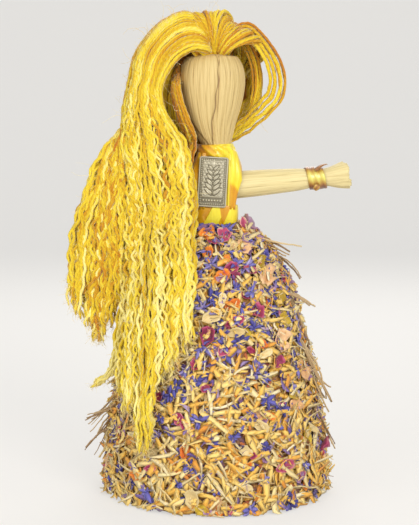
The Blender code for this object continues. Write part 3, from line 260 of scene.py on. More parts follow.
def putMesh(name, points, quads, finish, caps=None, lay=None, capLay=(0, 0), smooth=True, traits={}):
    # One mesh from arrays of points and faces; lay is the map of each quad's four corners
    points = np.asarray(points, float).reshape(-1, 3)
    quads = np.asarray(quads, int).reshape(-1, 4)
    caps = np.zeros((0, 4), int) if caps is None else np.asarray(caps, int)
    corners = np.concatenate([quads.ravel(), caps.ravel()])
    starts = np.concatenate([np.arange(len(quads)) * 4, quads.size + np.arange(len(caps)) * caps.shape[1]])
    mesh = bpy.data.meshes.new(name)
    mesh.vertices.add(len(points))
    mesh.vertices.foreach_set("co", points.astype(np.float32).ravel())
    mesh.loops.add(len(corners))
    mesh.loops.foreach_set("vertex_index", corners.astype(np.int32))
    mesh.polygons.add(len(starts))
    mesh.polygons.foreach_set("loop_start", starts.astype(np.int32))
    mesh.update(calc_edges=True)
    spread = mesh.uv_layers.new(name="lay")
    lay = np.zeros((quads.size, 2)) if lay is None else np.asarray(lay, float).reshape(-1, 2)
    lay = np.concatenate([lay, np.tile(capLay, (caps.size, 1))])
    spread.data.foreach_set("uv", lay.astype(np.float32).ravel())
    for trait, values in traits.items():
        kept = mesh.attributes.new(trait, "FLOAT", "POINT")
        kept.data.foreach_set("value", np.asarray(values, np.float32).ravel())
    if smooth:
        mesh.shade_smooth()
    mesh.materials.append(finish)
    obj = bpy.data.objects.new(name, mesh)
    bpy.context.scene.collection.objects.link(obj)
    return obj


def tubeFaces(count, rows, sides):
    # Quads of count tubes, each of rows rings, with their two end faces and each corner's place on the map
    tube = np.arange(count)[:, None, None] * rows * sides
    i, j = np.meshgrid(np.arange(rows - 1), np.arange(sides), indexing="ij")
    after = (j + 1) % sides
    ring = np.stack([i * sides + j, i * sides + after, (i + 1) * sides + after, (i + 1) * sides + j], -1)
    u = np.stack([j, j + 1, j + 1, j], -1) / sides
    v = np.stack([i, i, i + 1, i + 1], -1) / (rows - 1)
    # the far side's faces start one corner later, so that both sides of a thin strip split the same way
    later = np.repeat((j >= sides // 2)[..., None], 4, -1)
    ring, u, v = (np.where(later, np.roll(part, 1, -1), part) for part in (ring, u, v))
    quads = (tube[..., None] + ring.reshape(1, -1, 1, 4)).reshape(-1, 4)
    lay = np.tile(np.stack([u, v], -1).reshape(1, -1, 2), (count, 1, 1))
    ends = np.arange(sides)
    caps = np.concatenate([tube[:, 0] + ends[::-1], tube[:, 0] + (rows - 1) * sides + ends])
    return quads, caps, lay


def unit(v):
    return v / np.maximum(np.linalg.norm(v, axis=-1, keepdims=True), 1e-12)


def tangents(paths):
    return unit(np.gradient(paths, axis=-2))


def sweep(paths, across, wide, out, thick, section):
    # Rings along many paths: each section point goes its share of wide across and of thick out
    section = np.asarray(section, float)
    step = across[..., None, :] * (section[:, 0][:, None] * wide[..., None, None])
    rise = out[..., None, :] * (section[:, 1][:, None] * thick[..., None, None])
    return paths[..., None, :] + step + rise


def outward(points, quads):
    # Faces turned over where the mesh would be inside out, judged by its signed volume
    p = points.reshape(-1, 3)
    a, b, c, d = (p[quads[:, k]] for k in range(4))
    volume = np.einsum("ij,ij->i", a, np.cross(b, c) + np.cross(c, d)).sum()
    if volume < 0:
        quads = quads[:, ::-1]
    return quads, volume < 0


def facedOut(rings):
    # Rings that go round the wrong way for the path they lie along are turned, so every face looks outward
    ahead = tangents(rings.mean(2))
    turned = np.cross(rings - rings.mean(2, keepdims=True), np.roll(rings, -1, 2) - rings.mean(2, keepdims=True)).sum(2)
    wrong = (turned * ahead).sum((1, 2)) < 0
    rings = rings.copy()
    rings[wrong] = rings[wrong][:, :, ::-1]
    return rings


def putTubes(name, rings, finish, tone, capLay=(0.5, 0.5), stretch=None, smooth=True):
    # rings is tubes x rows x sides x 3; tone has one number for each tube, or for each of its rings
    count, rows, sides = rings.shape[:3]
    quads, caps, lay = tubeFaces(count, rows, sides)
    if stretch is not None:
        lay = lay * np.stack([np.ones(count), stretch], -1)[:, None, :]
    rings = facedOut(rings)
    tone = np.asarray(tone, float)
    tone = tone[:, None] if tone.ndim == 1 else tone
    tones = np.repeat(np.broadcast_to(tone, (count, rows)).ravel(), sides)
    return putMesh(name, rings, quads, finish, caps, lay, capLay, smooth, dict(tone=tones))


def putWall(name, outer, inner, finish, closed=False, size=(1, 1), traits=None, smooth=True):
    # A closed wall between two grids of points; closed joins the last column to the first
    rows, columns = outer.shape[:2]
    count = rows * columns
    across = columns if closed else columns - 1
    i, j = np.meshgrid(np.arange(rows - 1), np.arange(across), indexing="ij")
    k = (j + 1) % columns
    face = np.stack([i * columns + j, i * columns + k, (i + 1) * columns + k, (i + 1) * columns + j], -1)
    u = np.stack([j, j + 1, j + 1, j], -1) / across * size[0]
    v = np.stack([i, i, i + 1, i + 1], -1) / (rows - 1) * size[1]
    face, map1 = face.reshape(-1, 4), np.stack([u, v], -1).reshape(-1, 4, 2)
    quads, lay = [face, face[:, ::-1] + count], [map1, map1[:, ::-1]]
    loops = [np.arange(across + (not closed))[:, None] % columns + [0, (rows - 1) * columns]]
    if not closed:
        loops.append(np.arange(rows)[:, None] * columns + [0, columns - 1])
    for n, loop in enumerate(loops):
        loop = np.concatenate([loop, loop[:1]]) if closed else loop
        for side in (0, 1):
            a, b = loop[:-1, side], loop[1:, side]
            strip = np.stack([b, a, a + count, b + count], -1)
            strip = strip if (side == 0) == (n == 0) else strip[:, ::-1]
            quads.append(strip)
            lay.append(np.zeros((len(strip), 4, 2)))
    quads, lay = np.concatenate(quads), np.concatenate(lay)
    points = np.concatenate([outer.reshape(-1, 3), inner.reshape(-1, 3)])
    quads, turned = outward(points, quads)
    lay = lay[:, ::-1] if turned else lay
    return putMesh(name, points, quads, finish, None, lay, smooth=smooth, traits=traits or {})


def settle(piece, body, slot, *nodes):
    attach(piece, body)
    if nodes:
        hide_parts(*nodes)
    return piece


def smoothTable(table, x):
    # Cubic through rows of (x, value), its slopes taken from the neighbouring rows
    xs, ys = np.array(table, float).T
    last = len(xs) - 1
    after, before = np.minimum(np.arange(last + 1) + 1, last), np.maximum(np.arange(last + 1) - 1, 0)
    slopes = (ys[after] - ys[before]) / (xs[after] - xs[before])
    x = np.clip(x, xs[0], xs[-1])
    i = np.clip(np.searchsorted(xs, x) - 1, 0, last - 1)
    span = xs[i + 1] - xs[i]
    t = (x - xs[i]) / span
    rise = 3 * t**2 - 2 * t**3
    bend = (t**3 - 2 * t**2 + t) * slopes[i] + (t**3 - t**2) * slopes[i + 1]
    return ys[i] * (1 - rise) + ys[i + 1] * rise + bend * span


def between(a, b, t):
    return a + (b - a) * t


def fold(x):  # 0 to 1 and back in straight creases, once for each whole number
    return 2 * np.abs(x - np.floor(x + 0.5))


# Camera, at the photograph's angle

camera = dict(
    distance=0.8, height=0.225, aimX=1.9 * mm, aimZ=137.6 * mm, scale=0.606 * mm, pixelsWide=419, pixelsHigh=525,
    sensor=36,
)


def makeCamera():
    place = np.array([camera["aimX"], -camera["distance"], camera["height"]])
    aim = np.array([camera["aimX"], 0, camera["aimZ"]])
    ahead = unit(aim - place)
    focal = np.linalg.norm(aim - place) / camera["scale"]
    lens = bpy.data.cameras.new("photoView")
    lens.sensor_width = camera["sensor"]
    lens.lens = camera["sensor"] * focal / camera["pixelsHigh"]
    eye = bpy.data.objects.new("photoView", lens)
    eye.location = place
    eye.rotation_euler = (math.pi / 2 + math.asin(ahead[2]), 0, 0)
    bpy.context.scene.collection.objects.link(eye)
    bpy.context.scene.camera = eye
    return place, ahead, focal


eyePlace, eyeAhead, eyeFocal = makeCamera()


def pixelRay(x, y):  # direction from the camera through a pixel of the photograph
    up = np.cross([1, 0, 0], eyeAhead)
    across, down = x - camera["pixelsWide"] / 2, y - camera["pixelsHigh"] / 2
    return unit(eyeAhead * eyeFocal + np.array([1.0, 0, 0]) * across - up * down)


print("camera set")


# The body's shape, which the other pieces follow

headShares = [
    (0, 0.445, 0.547), (0.08, 0.475, 0.56), (0.2, 0.615, 0.67), (0.38, 0.805, 0.85), (0.56, 0.94, 0.96),
    (0.72, 1.0, 1.0), (0.86, 0.96, 0.93), (0.95, 0.84, 0.78), (0.99, 0.68, 0.58), (1.0, 0.5, 0.42),
]
bellShares = [
    (0, 0.98), (0.2, 0.93), (0.35, 0.855), (0.49, 0.755), (0.6, 0.665), (0.72, 0.567), (0.79, 0.49),
    (0.865, 0.35), (0.925, 0.2), (0.96, 0.075), (0.975, 0), (1.0, 0),
]


def headSizes(share):
    wide = smoothTable([(s, w) for s, w, d in headShares], share) * doll["headWide"]
    deep = smoothTable([(s, d) for s, w, d in headShares], share) * doll["headDeep"]
    return np.maximum(wide, doll["neckRadius"]), np.maximum(deep, doll["neckRadius"])


def headShift(share):  # the head leans towards -X, more so over the neck
    return -doll["headLean"] * smoothTable([(0, 0), (0.135, 0.47), (0.29, 0.8), (0.45, 0.8), (0.76, 0.82), (1, 1)], share)


def bellRadius(z):  # inner face of the skirt's leaves
    share = np.clip(z / doll["waistZ"], 0, 1)
    return between(doll["skirtTop"], doll["hemRadius"], smoothTable(bellShares, share))


def coatRadius(z):  # inner face of the petal coat
    return bellRadius(z) + 2 * doll["leafWall"] + 3 * doll["gap"]


coatDepth = 4.2 * mm


def bodyDepth(x, z, pad):
    # How far before or behind the doll's middle a strand has to lie to clear the body by pad
    x = x - doll["axisX"]
    share = np.clip((z - doll["neckZ"]) / (doll["crownZ"] - doll["neckZ"]), 0, 1)
    wide, deep = headSizes(share)
    off = (x - headShift(share)) / (wide + pad)
    head = (deep + pad) * np.sqrt(np.clip(1 - off**2, 0, 1)) * (z > doll["neckZ"] - pad) * (z < doll["crownZ"] + pad)
    wide = doll["waistWide"] + 2 * doll["ribbonWall"] + pad
    deep = doll["bodiceDeep"] + 1.6 * mm + 2 * doll["ribbonWall"] + pad
    torso = deep * np.sqrt(np.clip(1 - (x / wide) ** 2, 0, 1)) * (z > doll["waistZ"] - pad) * (z < doll["neckZ"])
    rise = np.abs(z - doll["armZ"] - x * math.tan(doll["armTilt"]))
    reach = doll["armRadius"] + doll["ribbonWall"] + pad
    arm = np.sqrt(np.clip(reach**2 - rise**2, 0, 1)) * (np.abs(x) < doll["handReach"] + pad)
    radius = np.zeros_like(z)
    for sink in (0, 0.3, 0.6, 0.85):
        low = z - pad * sink
        grown = coatRadius(low) + coatDepth + pad * math.sqrt(1 - sink**2)
        radius = np.maximum(radius, np.where(low < doll["waistZ"], grown, 0))
    skirt = np.sqrt(np.clip(radius**2 - x**2, 0, 1))
    return np.maximum.reduce([head, torso, arm, skirt])


# Yarn hair

# Guides as (across, height, depth): shares of the hair's reach, of the heights from floor (0) to neck (1)
# and hair top (2), and of the head's half depth, minus in front
hairGuides = dict(
    frontInner=[
        (-0.075, 1.685, -0.75), (-0.15, 1.7, -0.92), (-0.225, 1.66, -0.95), (-0.3, 1.575, -0.92),
        (-0.345, 1.46, -0.88), (-0.345, 1.32, -0.88), (-0.285, 1.17, -0.95), (-0.19, 1.03, -1.1), (-0.15, 0.95, -1.2),
        (-0.145, 0.85, -1.2), (-0.145, 0.72, -1.2), (-0.145, 0.58, -1.2), (-0.155, 0.45, -1.2),
        (-0.175, 0.33, -1.2), (-0.2, 0.22, -1.2),
    ],
    frontMiddle=[
        (-0.118, 1.81, -0.58), (-0.21, 1.89, -0.7), (-0.33, 1.83, -0.75), (-0.42, 1.67, -0.75),
        (-0.455, 1.49, -0.75), (-0.46, 1.32, -0.8), (-0.45, 1.14, -0.9), (-0.44, 1.0, -1.05), (-0.42, 0.92, -1.1),
        (-0.4, 0.78, -1.1), (-0.39, 0.66, -1.1), (-0.395, 0.53, -1.1), (-0.405, 0.4, -1.1), (-0.41, 0.28, -1.1),
        (-0.415, 0.165, -1.1),
    ],
    frontOuter=[
        (-0.142, 1.85, -0.3), (-0.22, 1.94, -0.45), (-0.35, 1.88, -0.5), (-0.46, 1.71, -0.5), (-0.505, 1.5, -0.5),
        (-0.53, 1.32, -0.5), (-0.545, 1.13, -0.6), (-0.55, 1.0, -0.9), (-0.545, 0.91, -1.0), (-0.56, 0.77, -0.95),
        (-0.57, 0.64, -0.9), (-0.585, 0.51, -0.9), (-0.61, 0.39, -0.9), (-0.625, 0.29, -0.9),
        (-0.64, 0.2, -0.9),
    ],
    sideFront=[
        (-0.155, 1.87, -0.12), (-0.23, 1.95, -0.15), (-0.36, 1.89, -0.2), (-0.475, 1.72, -0.3),
        (-0.525, 1.51, -0.35), (-0.54, 1.32, -0.35), (-0.55, 1.13, -0.5), (-0.565, 1.0, -0.85),
        (-0.58, 0.9, -0.95), (-0.6, 0.77, -0.92), (-0.62, 0.64, -0.9), (-0.64, 0.5, -0.85), (-0.665, 0.385, -0.8),
    ],
    flare=[
        (-0.15, 1.86, -0.2), (-0.22, 1.94, -0.3), (-0.36, 1.88, -0.4), (-0.47, 1.71, -0.45), (-0.515, 1.5, -0.5),
        (-0.545, 1.3, -0.5), (-0.57, 1.1, -0.6), (-0.58, 0.97, -0.9), (-0.59, 0.86, -0.95), (-0.61, 0.733, -0.95),
        (-0.61, 0.587, -0.9), (-0.615, 0.469, -0.9), (-0.645, 0.404, -0.85), (-0.7, 0.357, -0.8),
        (-0.77, 0.322, -0.75), (-0.83, 0.298, -0.7),
    ],
    sideOuter=[
        (-0.155, 1.88, 0.1), (-0.24, 1.955, 0.2), (-0.375, 1.89, 0.35), (-0.485, 1.72, 0.45), (-0.53, 1.51, 0.5),
        (-0.545, 1.32, 0.45), (-0.555, 1.16, 0.2), (-0.655, 1.04, -0.2), (-0.76, 0.96, -0.6), (-0.86, 0.87, -0.8),
        (-0.915, 0.77, -0.8), (-0.96, 0.66, -0.75), (-0.965, 0.52, -0.7),
    ],
    sideBackOuter=[
        (-0.15, 1.87, 0.36), (-0.23, 1.945, 0.5), (-0.365, 1.88, 0.65), (-0.475, 1.71, 0.8), (-0.52, 1.51, 0.9),
        (-0.54, 1.32, 0.9), (-0.565, 1.14, 0.95), (-0.63, 0.99, 1.05), (-0.705, 0.9, 1.05), (-0.775, 0.8, 1.0),
        (-0.84, 0.71, 0.95), (-0.88, 0.63, 0.9),
    ],
    sideBackInner=[
        (-0.118, 1.85, 0.62), (-0.19, 1.93, 1.0), (-0.3, 1.87, 1.35), (-0.38, 1.7, 1.5), (-0.435, 1.51, 1.6),
        (-0.465, 1.32, 1.6), (-0.485, 1.13, 1.55), (-0.51, 0.98, 1.5), (-0.55, 0.88, 1.45), (-0.6, 0.76, 1.45),
        (-0.64, 0.64, 1.45), (-0.67, 0.54, 1.45),
    ],
    backLeft=[
        (-0.095, 1.83, 0.78), (-0.155, 1.9, 1.2), (-0.24, 1.83, 1.6), (-0.325, 1.67, 1.75), (-0.365, 1.49, 1.8),
        (-0.39, 1.31, 1.8), (-0.41, 1.12, 1.8), (-0.44, 0.97, 1.75), (-0.475, 0.87, 1.7), (-0.52, 0.75, 1.7),
        (-0.55, 0.63, 1.7), (-0.555, 0.5, 1.7), (-0.53, 0.38, 1.7),
    ],
    backMiddle=[
        (0.0, 1.83, 0.98), (-0.005, 1.89, 1.45), (-0.015, 1.81, 1.75), (-0.025, 1.66, 1.85), (-0.035, 1.48, 1.85),
        (-0.055, 1.31, 1.8), (-0.09, 1.12, 1.75), (-0.14, 0.97, 1.75), (-0.18, 0.87, 1.75), (-0.22, 0.75, 1.75),
        (-0.25, 0.62, 1.75), (-0.27, 0.47, 1.75), (-0.275, 0.33, 1.75),
    ],
    backRight=[
        (0.118, 1.82, 0.62), (0.18, 1.88, 0.95), (0.24, 1.79, 1.2), (0.25, 1.64, 1.4), (0.25, 1.48, 1.5),
        (0.225, 1.33, 1.5), (0.125, 1.17, 1.45), (0.05, 1.04, 1.5), (0.02, 0.93, 1.55), (0.01, 0.8, 1.55),
        (-0.01, 0.66, 1.55), (-0.03, 0.52, 1.55), (-0.05, 0.4, 1.55),
    ],
    loopOuter=[
        (0.2, 1.88, -0.3), (0.31, 1.8, -0.25), (0.375, 1.66, -0.15), (0.4, 1.5, 0), (0.375, 1.36, 0.15),
        (0.285, 1.245, 0.35), (0.175, 1.165, 0.6), (0.07, 1.09, 0.85), (-0.02, 1.0, 1.0), (-0.12, 0.93, 1.0),
    ],
    loopInner=[
        (0.14, 1.85, 0.2), (0.23, 1.76, 0.3), (0.262, 1.62, 0.4), (0.262, 1.46, 0.45), (0.245, 1.33, 0.5),
        (0.21, 1.25, 0.58),
    ],
    loopBack=[
        (0.15, 1.83, 0.7), (0.24, 1.76, 0.8), (0.28, 1.6, 0.9), (0.28, 1.45, 0.95), (0.255, 1.31, 1.0),
        (0.205, 1.2, 1.15), (0.15, 1.13, 1.3),
    ],
)


# Strands that rise from the crown and go over it, in mm from the middle of the crown
crestGuides = dict(
    crestLeft=[(-10, -6, 2), (-17, -10, 8), (-26, -9, 14), (-35, -4, 17), (-41, 5, 13), (-44, 14, 1),
               (-46, 20, -14), (-47, 23, -32)],
    crestParted=[(-1, -5, 3), (-3, -8.5, 14), (-8, -10, 21), (-16, -8, 25.5), (-26, -1, 25), (-36, 6, 17),
                 (-43, 13, 2), (-46, 18, -22)],
    crestPeak=[(2, -5, 3), (2.5, -8.5, 13), (3.5, -10, 21), (6, -7, 26.5), (11, 0, 25), (15, 9, 19),
               (18, 16, 7), (17, 21, -14)],
    crestRight=[(9, -5, 2), (17, -9, 6.5), (26, -9, 9), (34, -5, 8.5), (38, 3, 3), (33, 12, -1), (24, 20, -9),
                (13, 24, -20)],
    # strands that fall close beside the head, behind the front fall; their tone is set pale as painted light in the
    # shaded gap
    cheekInner=[(-10, 4, 1.5), (-16, 7, 1), (-20, 8, -12), (-21, 6, -28), (-18.5, 1, -44), (-15, -4, -58),
                (-16, -13, -72), (-20, -22, -90), (-22, -29, -115), (-24, -36, -136)],
    cheekOuter=[(-11, 6, 2), (-20, 9, 4), (-28, 8, -7), (-32, 5, -25), (-32, 1, -42), (-30, -5, -58),
                (-29, -13, -74), (-29, -20, -92), (-30, -28, -116), (-31, -36, -138)],
    # strands that hug the side of the face and go under the front fall, painted a deeper amber than the hair around
    # them as painted shade
    templeInner=[(-9, 4, 1.5), (-14.5, 5, 0), (-18.8, 0.5, -9), (-18.8, -4, -19), (-15.9, -5, -30), (-12.4, -5, -40),
                 (-9.4, -3.5, -50), (-11.5, -8, -60), (-15.5, -15, -73), (-19, -22, -92)],
    templeOuter=[(-10, 5, 1.8), (-17, 7, 0.5), (-21.5, 3, -9), (-22, -1, -20), (-20, -2.5, -32), (-17, -3, -43),
                 (-14.5, -3.5, -53), (-15.5, -9, -63), (-18.5, -16, -78), (-21, -24, -98)],
)


def guidePoints(name):
    if name in crestGuides:
        return np.array(crestGuides[name]) * mm + [doll["axisX"] - doll["headLean"], 0, doll["crownZ"]]
    across, height, depth = np.array(hairGuides[name]).T
    low = height * doll["neckZ"]
    high = doll["neckZ"] + (height - 1) * (doll["hairTopZ"] - doll["neckZ"])
    x = doll["axisX"] + across * doll["hairReach"]
    return np.stack([x, depth * doll["headDeep"], np.where(height <= 1, low, high)], -1)


def splineThrough(points, places):
    # Catmull-Rom curve through points (strands x knots x 3) at places from 0 to 1 (strands x stations)
    last = points.shape[1] - 1
    place = np.clip(places, 0, 1) * last
    i = np.minimum(place.astype(int), last - 1)
    f = (place - i)[..., None]
    rows = np.arange(len(points))[:, None]
    p0, p1, p2, p3 = (points[rows, np.clip(i + k, 0, last)] for k in (-1, 0, 1, 2))
    return 0.5 * (2 * p1 + (p2 - p0) * f + (2 * p0 - 5 * p1 + 4 * p2 - p3) * f**2
                  + (3 * p1 - p0 - 3 * p2 + p3) * f**3)


def evenly(paths, stations):
    # The same curves with their stations spread evenly along their length
    steps = np.linalg.norm(np.diff(paths, axis=1), axis=-1)
    run = np.concatenate([np.zeros((len(paths), 1)), steps.cumsum(1)], 1)
    out = np.empty((len(paths), stations, 3))
    for n, (line, length) in enumerate(zip(paths, run)):
        want = np.linspace(0, length[-1], stations)
        for axis in range(3):
            out[n, :, axis] = np.interp(want, length, line[:, axis])
    return out, run[:, -1]


def softened(values, reach):
    # Running mean along the stations
    window = np.ones(2 * reach + 1) / (2 * reach + 1)
    padded = np.pad(values, ((0, 0), (reach, reach)), mode="edge")
    return np.apply_along_axis(lambda row: np.convolve(row, window, "valid"), 1, padded)


yarn = dict(
    radius=1.0 * mm, sides=5, station=2.25 * mm, crimp=0.85 * mm, crimpLength=11.5 * mm, rootRadius=5.2 * mm,
    lift=5.4 * mm, wander=1.3 * mm, perPiece=125, rootShade=0.24, knotAt=59.6 * mm,
    knotRoom=12.2 * mm,
)
# Each fall of hair: its guides from one side to the other, how many strands, and how far down each strand
# goes at places across it
falls = dict(
    front=dict(guides=["frontInner", "frontMiddle", "frontOuter"], strands=170, tone=0.62,
               ends=[(0, 0.86), (0.1, 0.87), (0.22, 0.885), (0.3, 0.9), (0.44, 0.92), (0.5, 0.995), (0.64, 1),
                     (0.72, 0.945), (0.85, 0.95), (1, 0.92)],
               nodes=["lock_front_1", "lock_front_2", "lock_front_3", "lock_front_4"]),
    side=dict(guides=["sideFront", "sideOuter"], strands=148, tone=0.46, vary=0.19,
              ends=[(0, 0.9), (0.12, 0.94), (0.26, 0.98), (0.4, 1), (0.54, 1), (0.63, 0.95), (0.75, 0.985), (1, 0.98)],
              nodes=["lock_side_1", "lock_side_2", "lock_side_3"]),
    sideBack=dict(guides=["sideBackOuter", "sideBackInner"], strands=92, tone=0.4, ends=[(0, 1), (1, 0.9)],
                  nodes=["lock_side_back_1", "lock_side_back_2"]),
    back=dict(guides=["backLeft", "backMiddle", "backRight"], strands=185, tone=0.4,
              ends=[(0, 1), (0.4, 0.95), (0.6, 1), (1, 0.93)],
              nodes=["lock_back_1", "lock_back_2", "lock_back_3", "lock_back_4", "hair_root", "hair_cap"]),
    cheek=dict(guides=["cheekInner", "cheekOuter"], strands=72, tone=0.6, ends=[(0, 0.9), (1, 1)],
               lift=3.6 * mm, nodes=[]),
    temple=dict(guides=["templeInner", "templeOuter"], strands=30, tone=0.24, ends=[(0, 1), (1, 1)],
                crimp=0.8, lift=1.6 * mm, nodes=[]),
    crestLeft=dict(guides=["crestLeft", "crestParted"], strands=72, tone=0.42, vary=0.2, ends=[(0, 1), (1, 1)],
                   lift=3.4 * mm, nodes=[]),
    crestMiddle=dict(guides=["crestParted", "crestPeak"], strands=44, tone=0.47, vary=0.2, ends=[(0, 1), (1, 1)],
                     lift=2.6 * mm, nodes=[]),
    crestRight=dict(guides=["crestPeak", "crestRight"], strands=50, tone=0.5, ends=[(0, 1), (1, 1)],
                    lift=3.0 * mm, nodes=[]),
    flare=dict(guides=["flare"], strands=10, tone=0.72, ends=[(0, 1), (1, 0.93)], lift=2.6 * mm, spread=3.6 * mm,
               nodes=[]),
    loopOuter=dict(guides=["loopOuter"], crimp=0.4, strands=12, tone=0.5, ends=[(0, 1), (1, 1)], lift=2.0 * mm,
                   spread=4.8 * mm, bunches=4, nodes=["loop_outer"]),
    loopInner=dict(guides=["loopInner"], crimp=0.5, strands=6, tone=0.45, ends=[(0, 1), (1, 1)], lift=1.6 * mm,
                   spread=3.2 * mm, nodes=["loop_inner"]),
    loopBack=dict(guides=["loopBack"], crimp=0.5, strands=9, tone=0.35, ends=[(0, 1), (1, 1)], lift=2.0 * mm,
                  spread=2.4 * mm, nodes=["loop_back"]),
)

def acrossGuides(guides, u):
    # Knots of each strand u of the way across a fan of two or three guides
    knots = np.array([guidePoints(g) for g in guides])
    u = u[:, None, None]
    if len(knots) == 1:
        return knots[0] + 0 * u
    if len(knots) == 2:
        return between(knots[0], knots[1], u)
    return knots[0] * 2 * (u - 0.5) * (u - 1) + knots[1] * 4 * u * (1 - u) + knots[2] * 2 * u * (u - 0.5)


# How far the hair stands off the middle of the crown, against its guides, at angles round it from +X
crownShape = [(-25, 1), (-3, 0.95), (5, 0.92), (17, 0.885), (40, 0.865), (54, 0.85), (68, 0.94), (80, 0.96), (95, 0.92),
              (110, 0.885), (123, 0.865), (136, 0.85), (146, 0.865), (154, 0.875), (161, 0.89), (167, 0.905),
              (173, 0.925), (182, 0.95), (196, 0.955), (210, 1)]


def crowned(line):
    middle = np.array([doll["axisX"] - doll["headLean"], doll["crownZ"]])
    away = line[..., (0, 2)] - middle
    angle = np.degrees(np.arctan2(away[..., 1], away[..., 0]))
    angle = np.where(angle < -90, angle + 360, angle)
    line[..., (0, 2)] = middle + away * smoothTable(crownShape, angle)[..., None]
    return line


def pastWrist(line):
    # Strands that pass a wrist leave its knot room to turn with the arm
    x = line[..., 0] - doll["axisX"]
    rise = line[..., 2] - doll["armZ"] - x * math.tan(doll["armTilt"])
    near = np.clip(1.7 - np.abs(np.abs(x) - yarn["knotAt"]) / (5 * mm), 0, 1)
    need = near * np.sqrt(np.clip(yarn["knotRoom"] ** 2 - rise**2, 0, 1))
    line[..., 1] += np.where(need > 0, np.maximum(need - np.abs(line[..., 1]), 0), 0) * np.sign(line[..., 1])
    return line


def rootedKnots(knots, outer, dice):
    # Each strand rises out of the bore in the crown, then flares to where its guide starts
    crown = np.array([doll["axisX"] - doll["headLean"], 0, doll["crownZ"]])
    lean = knots[:, 0] - crown
    lean[:, 2] = 0
    lean = unit(lean)
    reach = yarn["rootRadius"] * dice.uniform(0.5, 1, len(knots))[:, None]
    base = crown + lean * reach - [0, 0, 6 * mm]
    mouth = crown + lean * reach * 1.25 + np.stack([lean[:, 0] * 2.5, lean[:, 1] * 0.5, 0 * outer], -1) * mm
    mouth[:, 2] += dice.uniform(0.3, 1.6, len(knots)) * mm
    return np.concatenate([base[:, None], mouth[:, None], knots], 1)


def combFall(fall, dice):
    # Centre lines of one fall: the fan's own curve, moved out from the body, then spread through its
    # thickness, drawn into clumps, left to wander and crimped
    count = fall["strands"]
    u = (np.arange(count) + dice.uniform(-0.6, 0.6, count) + 0.5) / count
    u = np.clip(u, 0, 1)
    if "bunches" in fall:
        u = between(u, np.round(u * (fall["bunches"] - 1)) / (fall["bunches"] - 1), 0.85)
    w = 1 - 2 * dice.uniform(0, 1, count) ** 1.35
    shares = np.linspace(0, 1, 150)
    ends = smoothTable(fall["ends"], u) * dice.uniform(0.955, 1.0, count)
    cut = shares[None] * ends[:, None]
    knots = rootedKnots(acrossGuides(fall["guides"], u), w, dice)
    beside = rootedKnots(acrossGuides(fall["guides"], np.clip(u + 0.02, 0, 1.02)), w, dice)
    path, aside = splineThrough(knots, cut), splineThrough(beside, cut)
    need = bodyDepth(path[..., 0], path[..., 2], 6.3 * mm) - np.abs(path[..., 1])
    need = np.where(cut > 0.42, np.maximum(need, 0), 0)
    spread = np.lib.stride_tricks.sliding_window_view(np.pad(need, ((0, 0), (3, 3)), mode="edge"), 7, axis=1)
    push = softened(spread.max(-1), 4) * np.sign(path[..., 1])
    path[..., 1] += push
    aside[..., 1] += push
    stations = int(path.shape[1] and round(np.median(evenly(path, 2)[1]) / yarn["station"]))
    line, length = evenly(path, stations)
    other = evenly(aside, stations)[0]
    run = np.linspace(0, 1, stations)[None] * length[:, None]
    along = tangents(line)
    loose = "spread" in fall
    across = np.cross(along, [0, 1.0, 0]) if loose else unit(other - line)
    across = unit(across - along * (across * along).sum(-1, keepdims=True))
    out = np.cross(along, across)
    away = line - np.array([doll["axisX"], 0, 0.235])
    out *= np.sign((out[:, stations // 6:stations // 2] * away[:, stations // 6:stations // 2]).sum())
    shown = np.clip(run / (34 * mm), 0, 1)
    thick = fall.get("lift", yarn["lift"]) * (0.35 + 0.65 * shown) * (1 - 0.3 * np.clip(run / length[:, None] - 0.75, 0, 1) * 4)
    wild = np.clip((run - 50 * mm) / (60 * mm), 0.12, 1)
    clump = dice.normal(0, 1, (count // 7 + 2, 4))
    which = (u * (count // 7)).astype(int)
    turns = dice.uniform(0, turnFull, (count, 6))
    base = clump[which]
    crimp = fall.get("crimp", 1) * yarn["crimp"] * wild * np.clip(dice.lognormal(0, 0.42, (count, 1)), 0.35, 2.1)
    wave = turnFull * run / (yarn["crimpLength"] * dice.uniform(0.86, 1.18, (count, 1)))
    sway = np.sin(wave + turns[:, :1] * 0.35 + base[:, :1] * 2) * crimp
    sway += np.sin(turnFull * run / (47 * mm) + base[:, 1:2] * 3 + turns[:, 1:2] * 0.4) * yarn["wander"] * wild
    heave = np.sin(wave * 1.07 + turns[:, 2:3]) * crimp * 0.5
    heave += np.sin(turnFull * run / (38 * mm) + turns[:, 3:4]) * yarn["wander"] * 0.45 * wild
    if loose:
        fan = np.sin(math.pi * np.clip(run / length[:, None], 0, 1)) ** 0.6
        sway += (2 * u[:, None] - 1) * fall["spread"] * fan
    line = crowned(line + across * sway[..., None] + out * (w[:, None] * thick + heave)[..., None])
    line = pastWrist(line)
    line[..., 2] = np.maximum(line[..., 2], 2 * mm)
    return line, length


def yarnRings(lines, radius):
    # A round tube about each line, its rings kept from turning by carrying one side vector along
    along = tangents(lines)
    side = np.empty_like(lines)
    carried = unit(np.cross(along[:, 0], [0.3, 0.9, 0.1]))
    for k in range(lines.shape[1]):
        carried = unit(carried - along[:, k] * (carried * along[:, k]).sum(-1, keepdims=True))
        side[:, k] = carried
    angle = turnFull * np.arange(yarn["sides"]) / yarn["sides"]
    section = np.stack([np.cos(angle), np.sin(angle)], -1)
    return sweep(lines, side, radius, np.cross(along, side), radius, section)


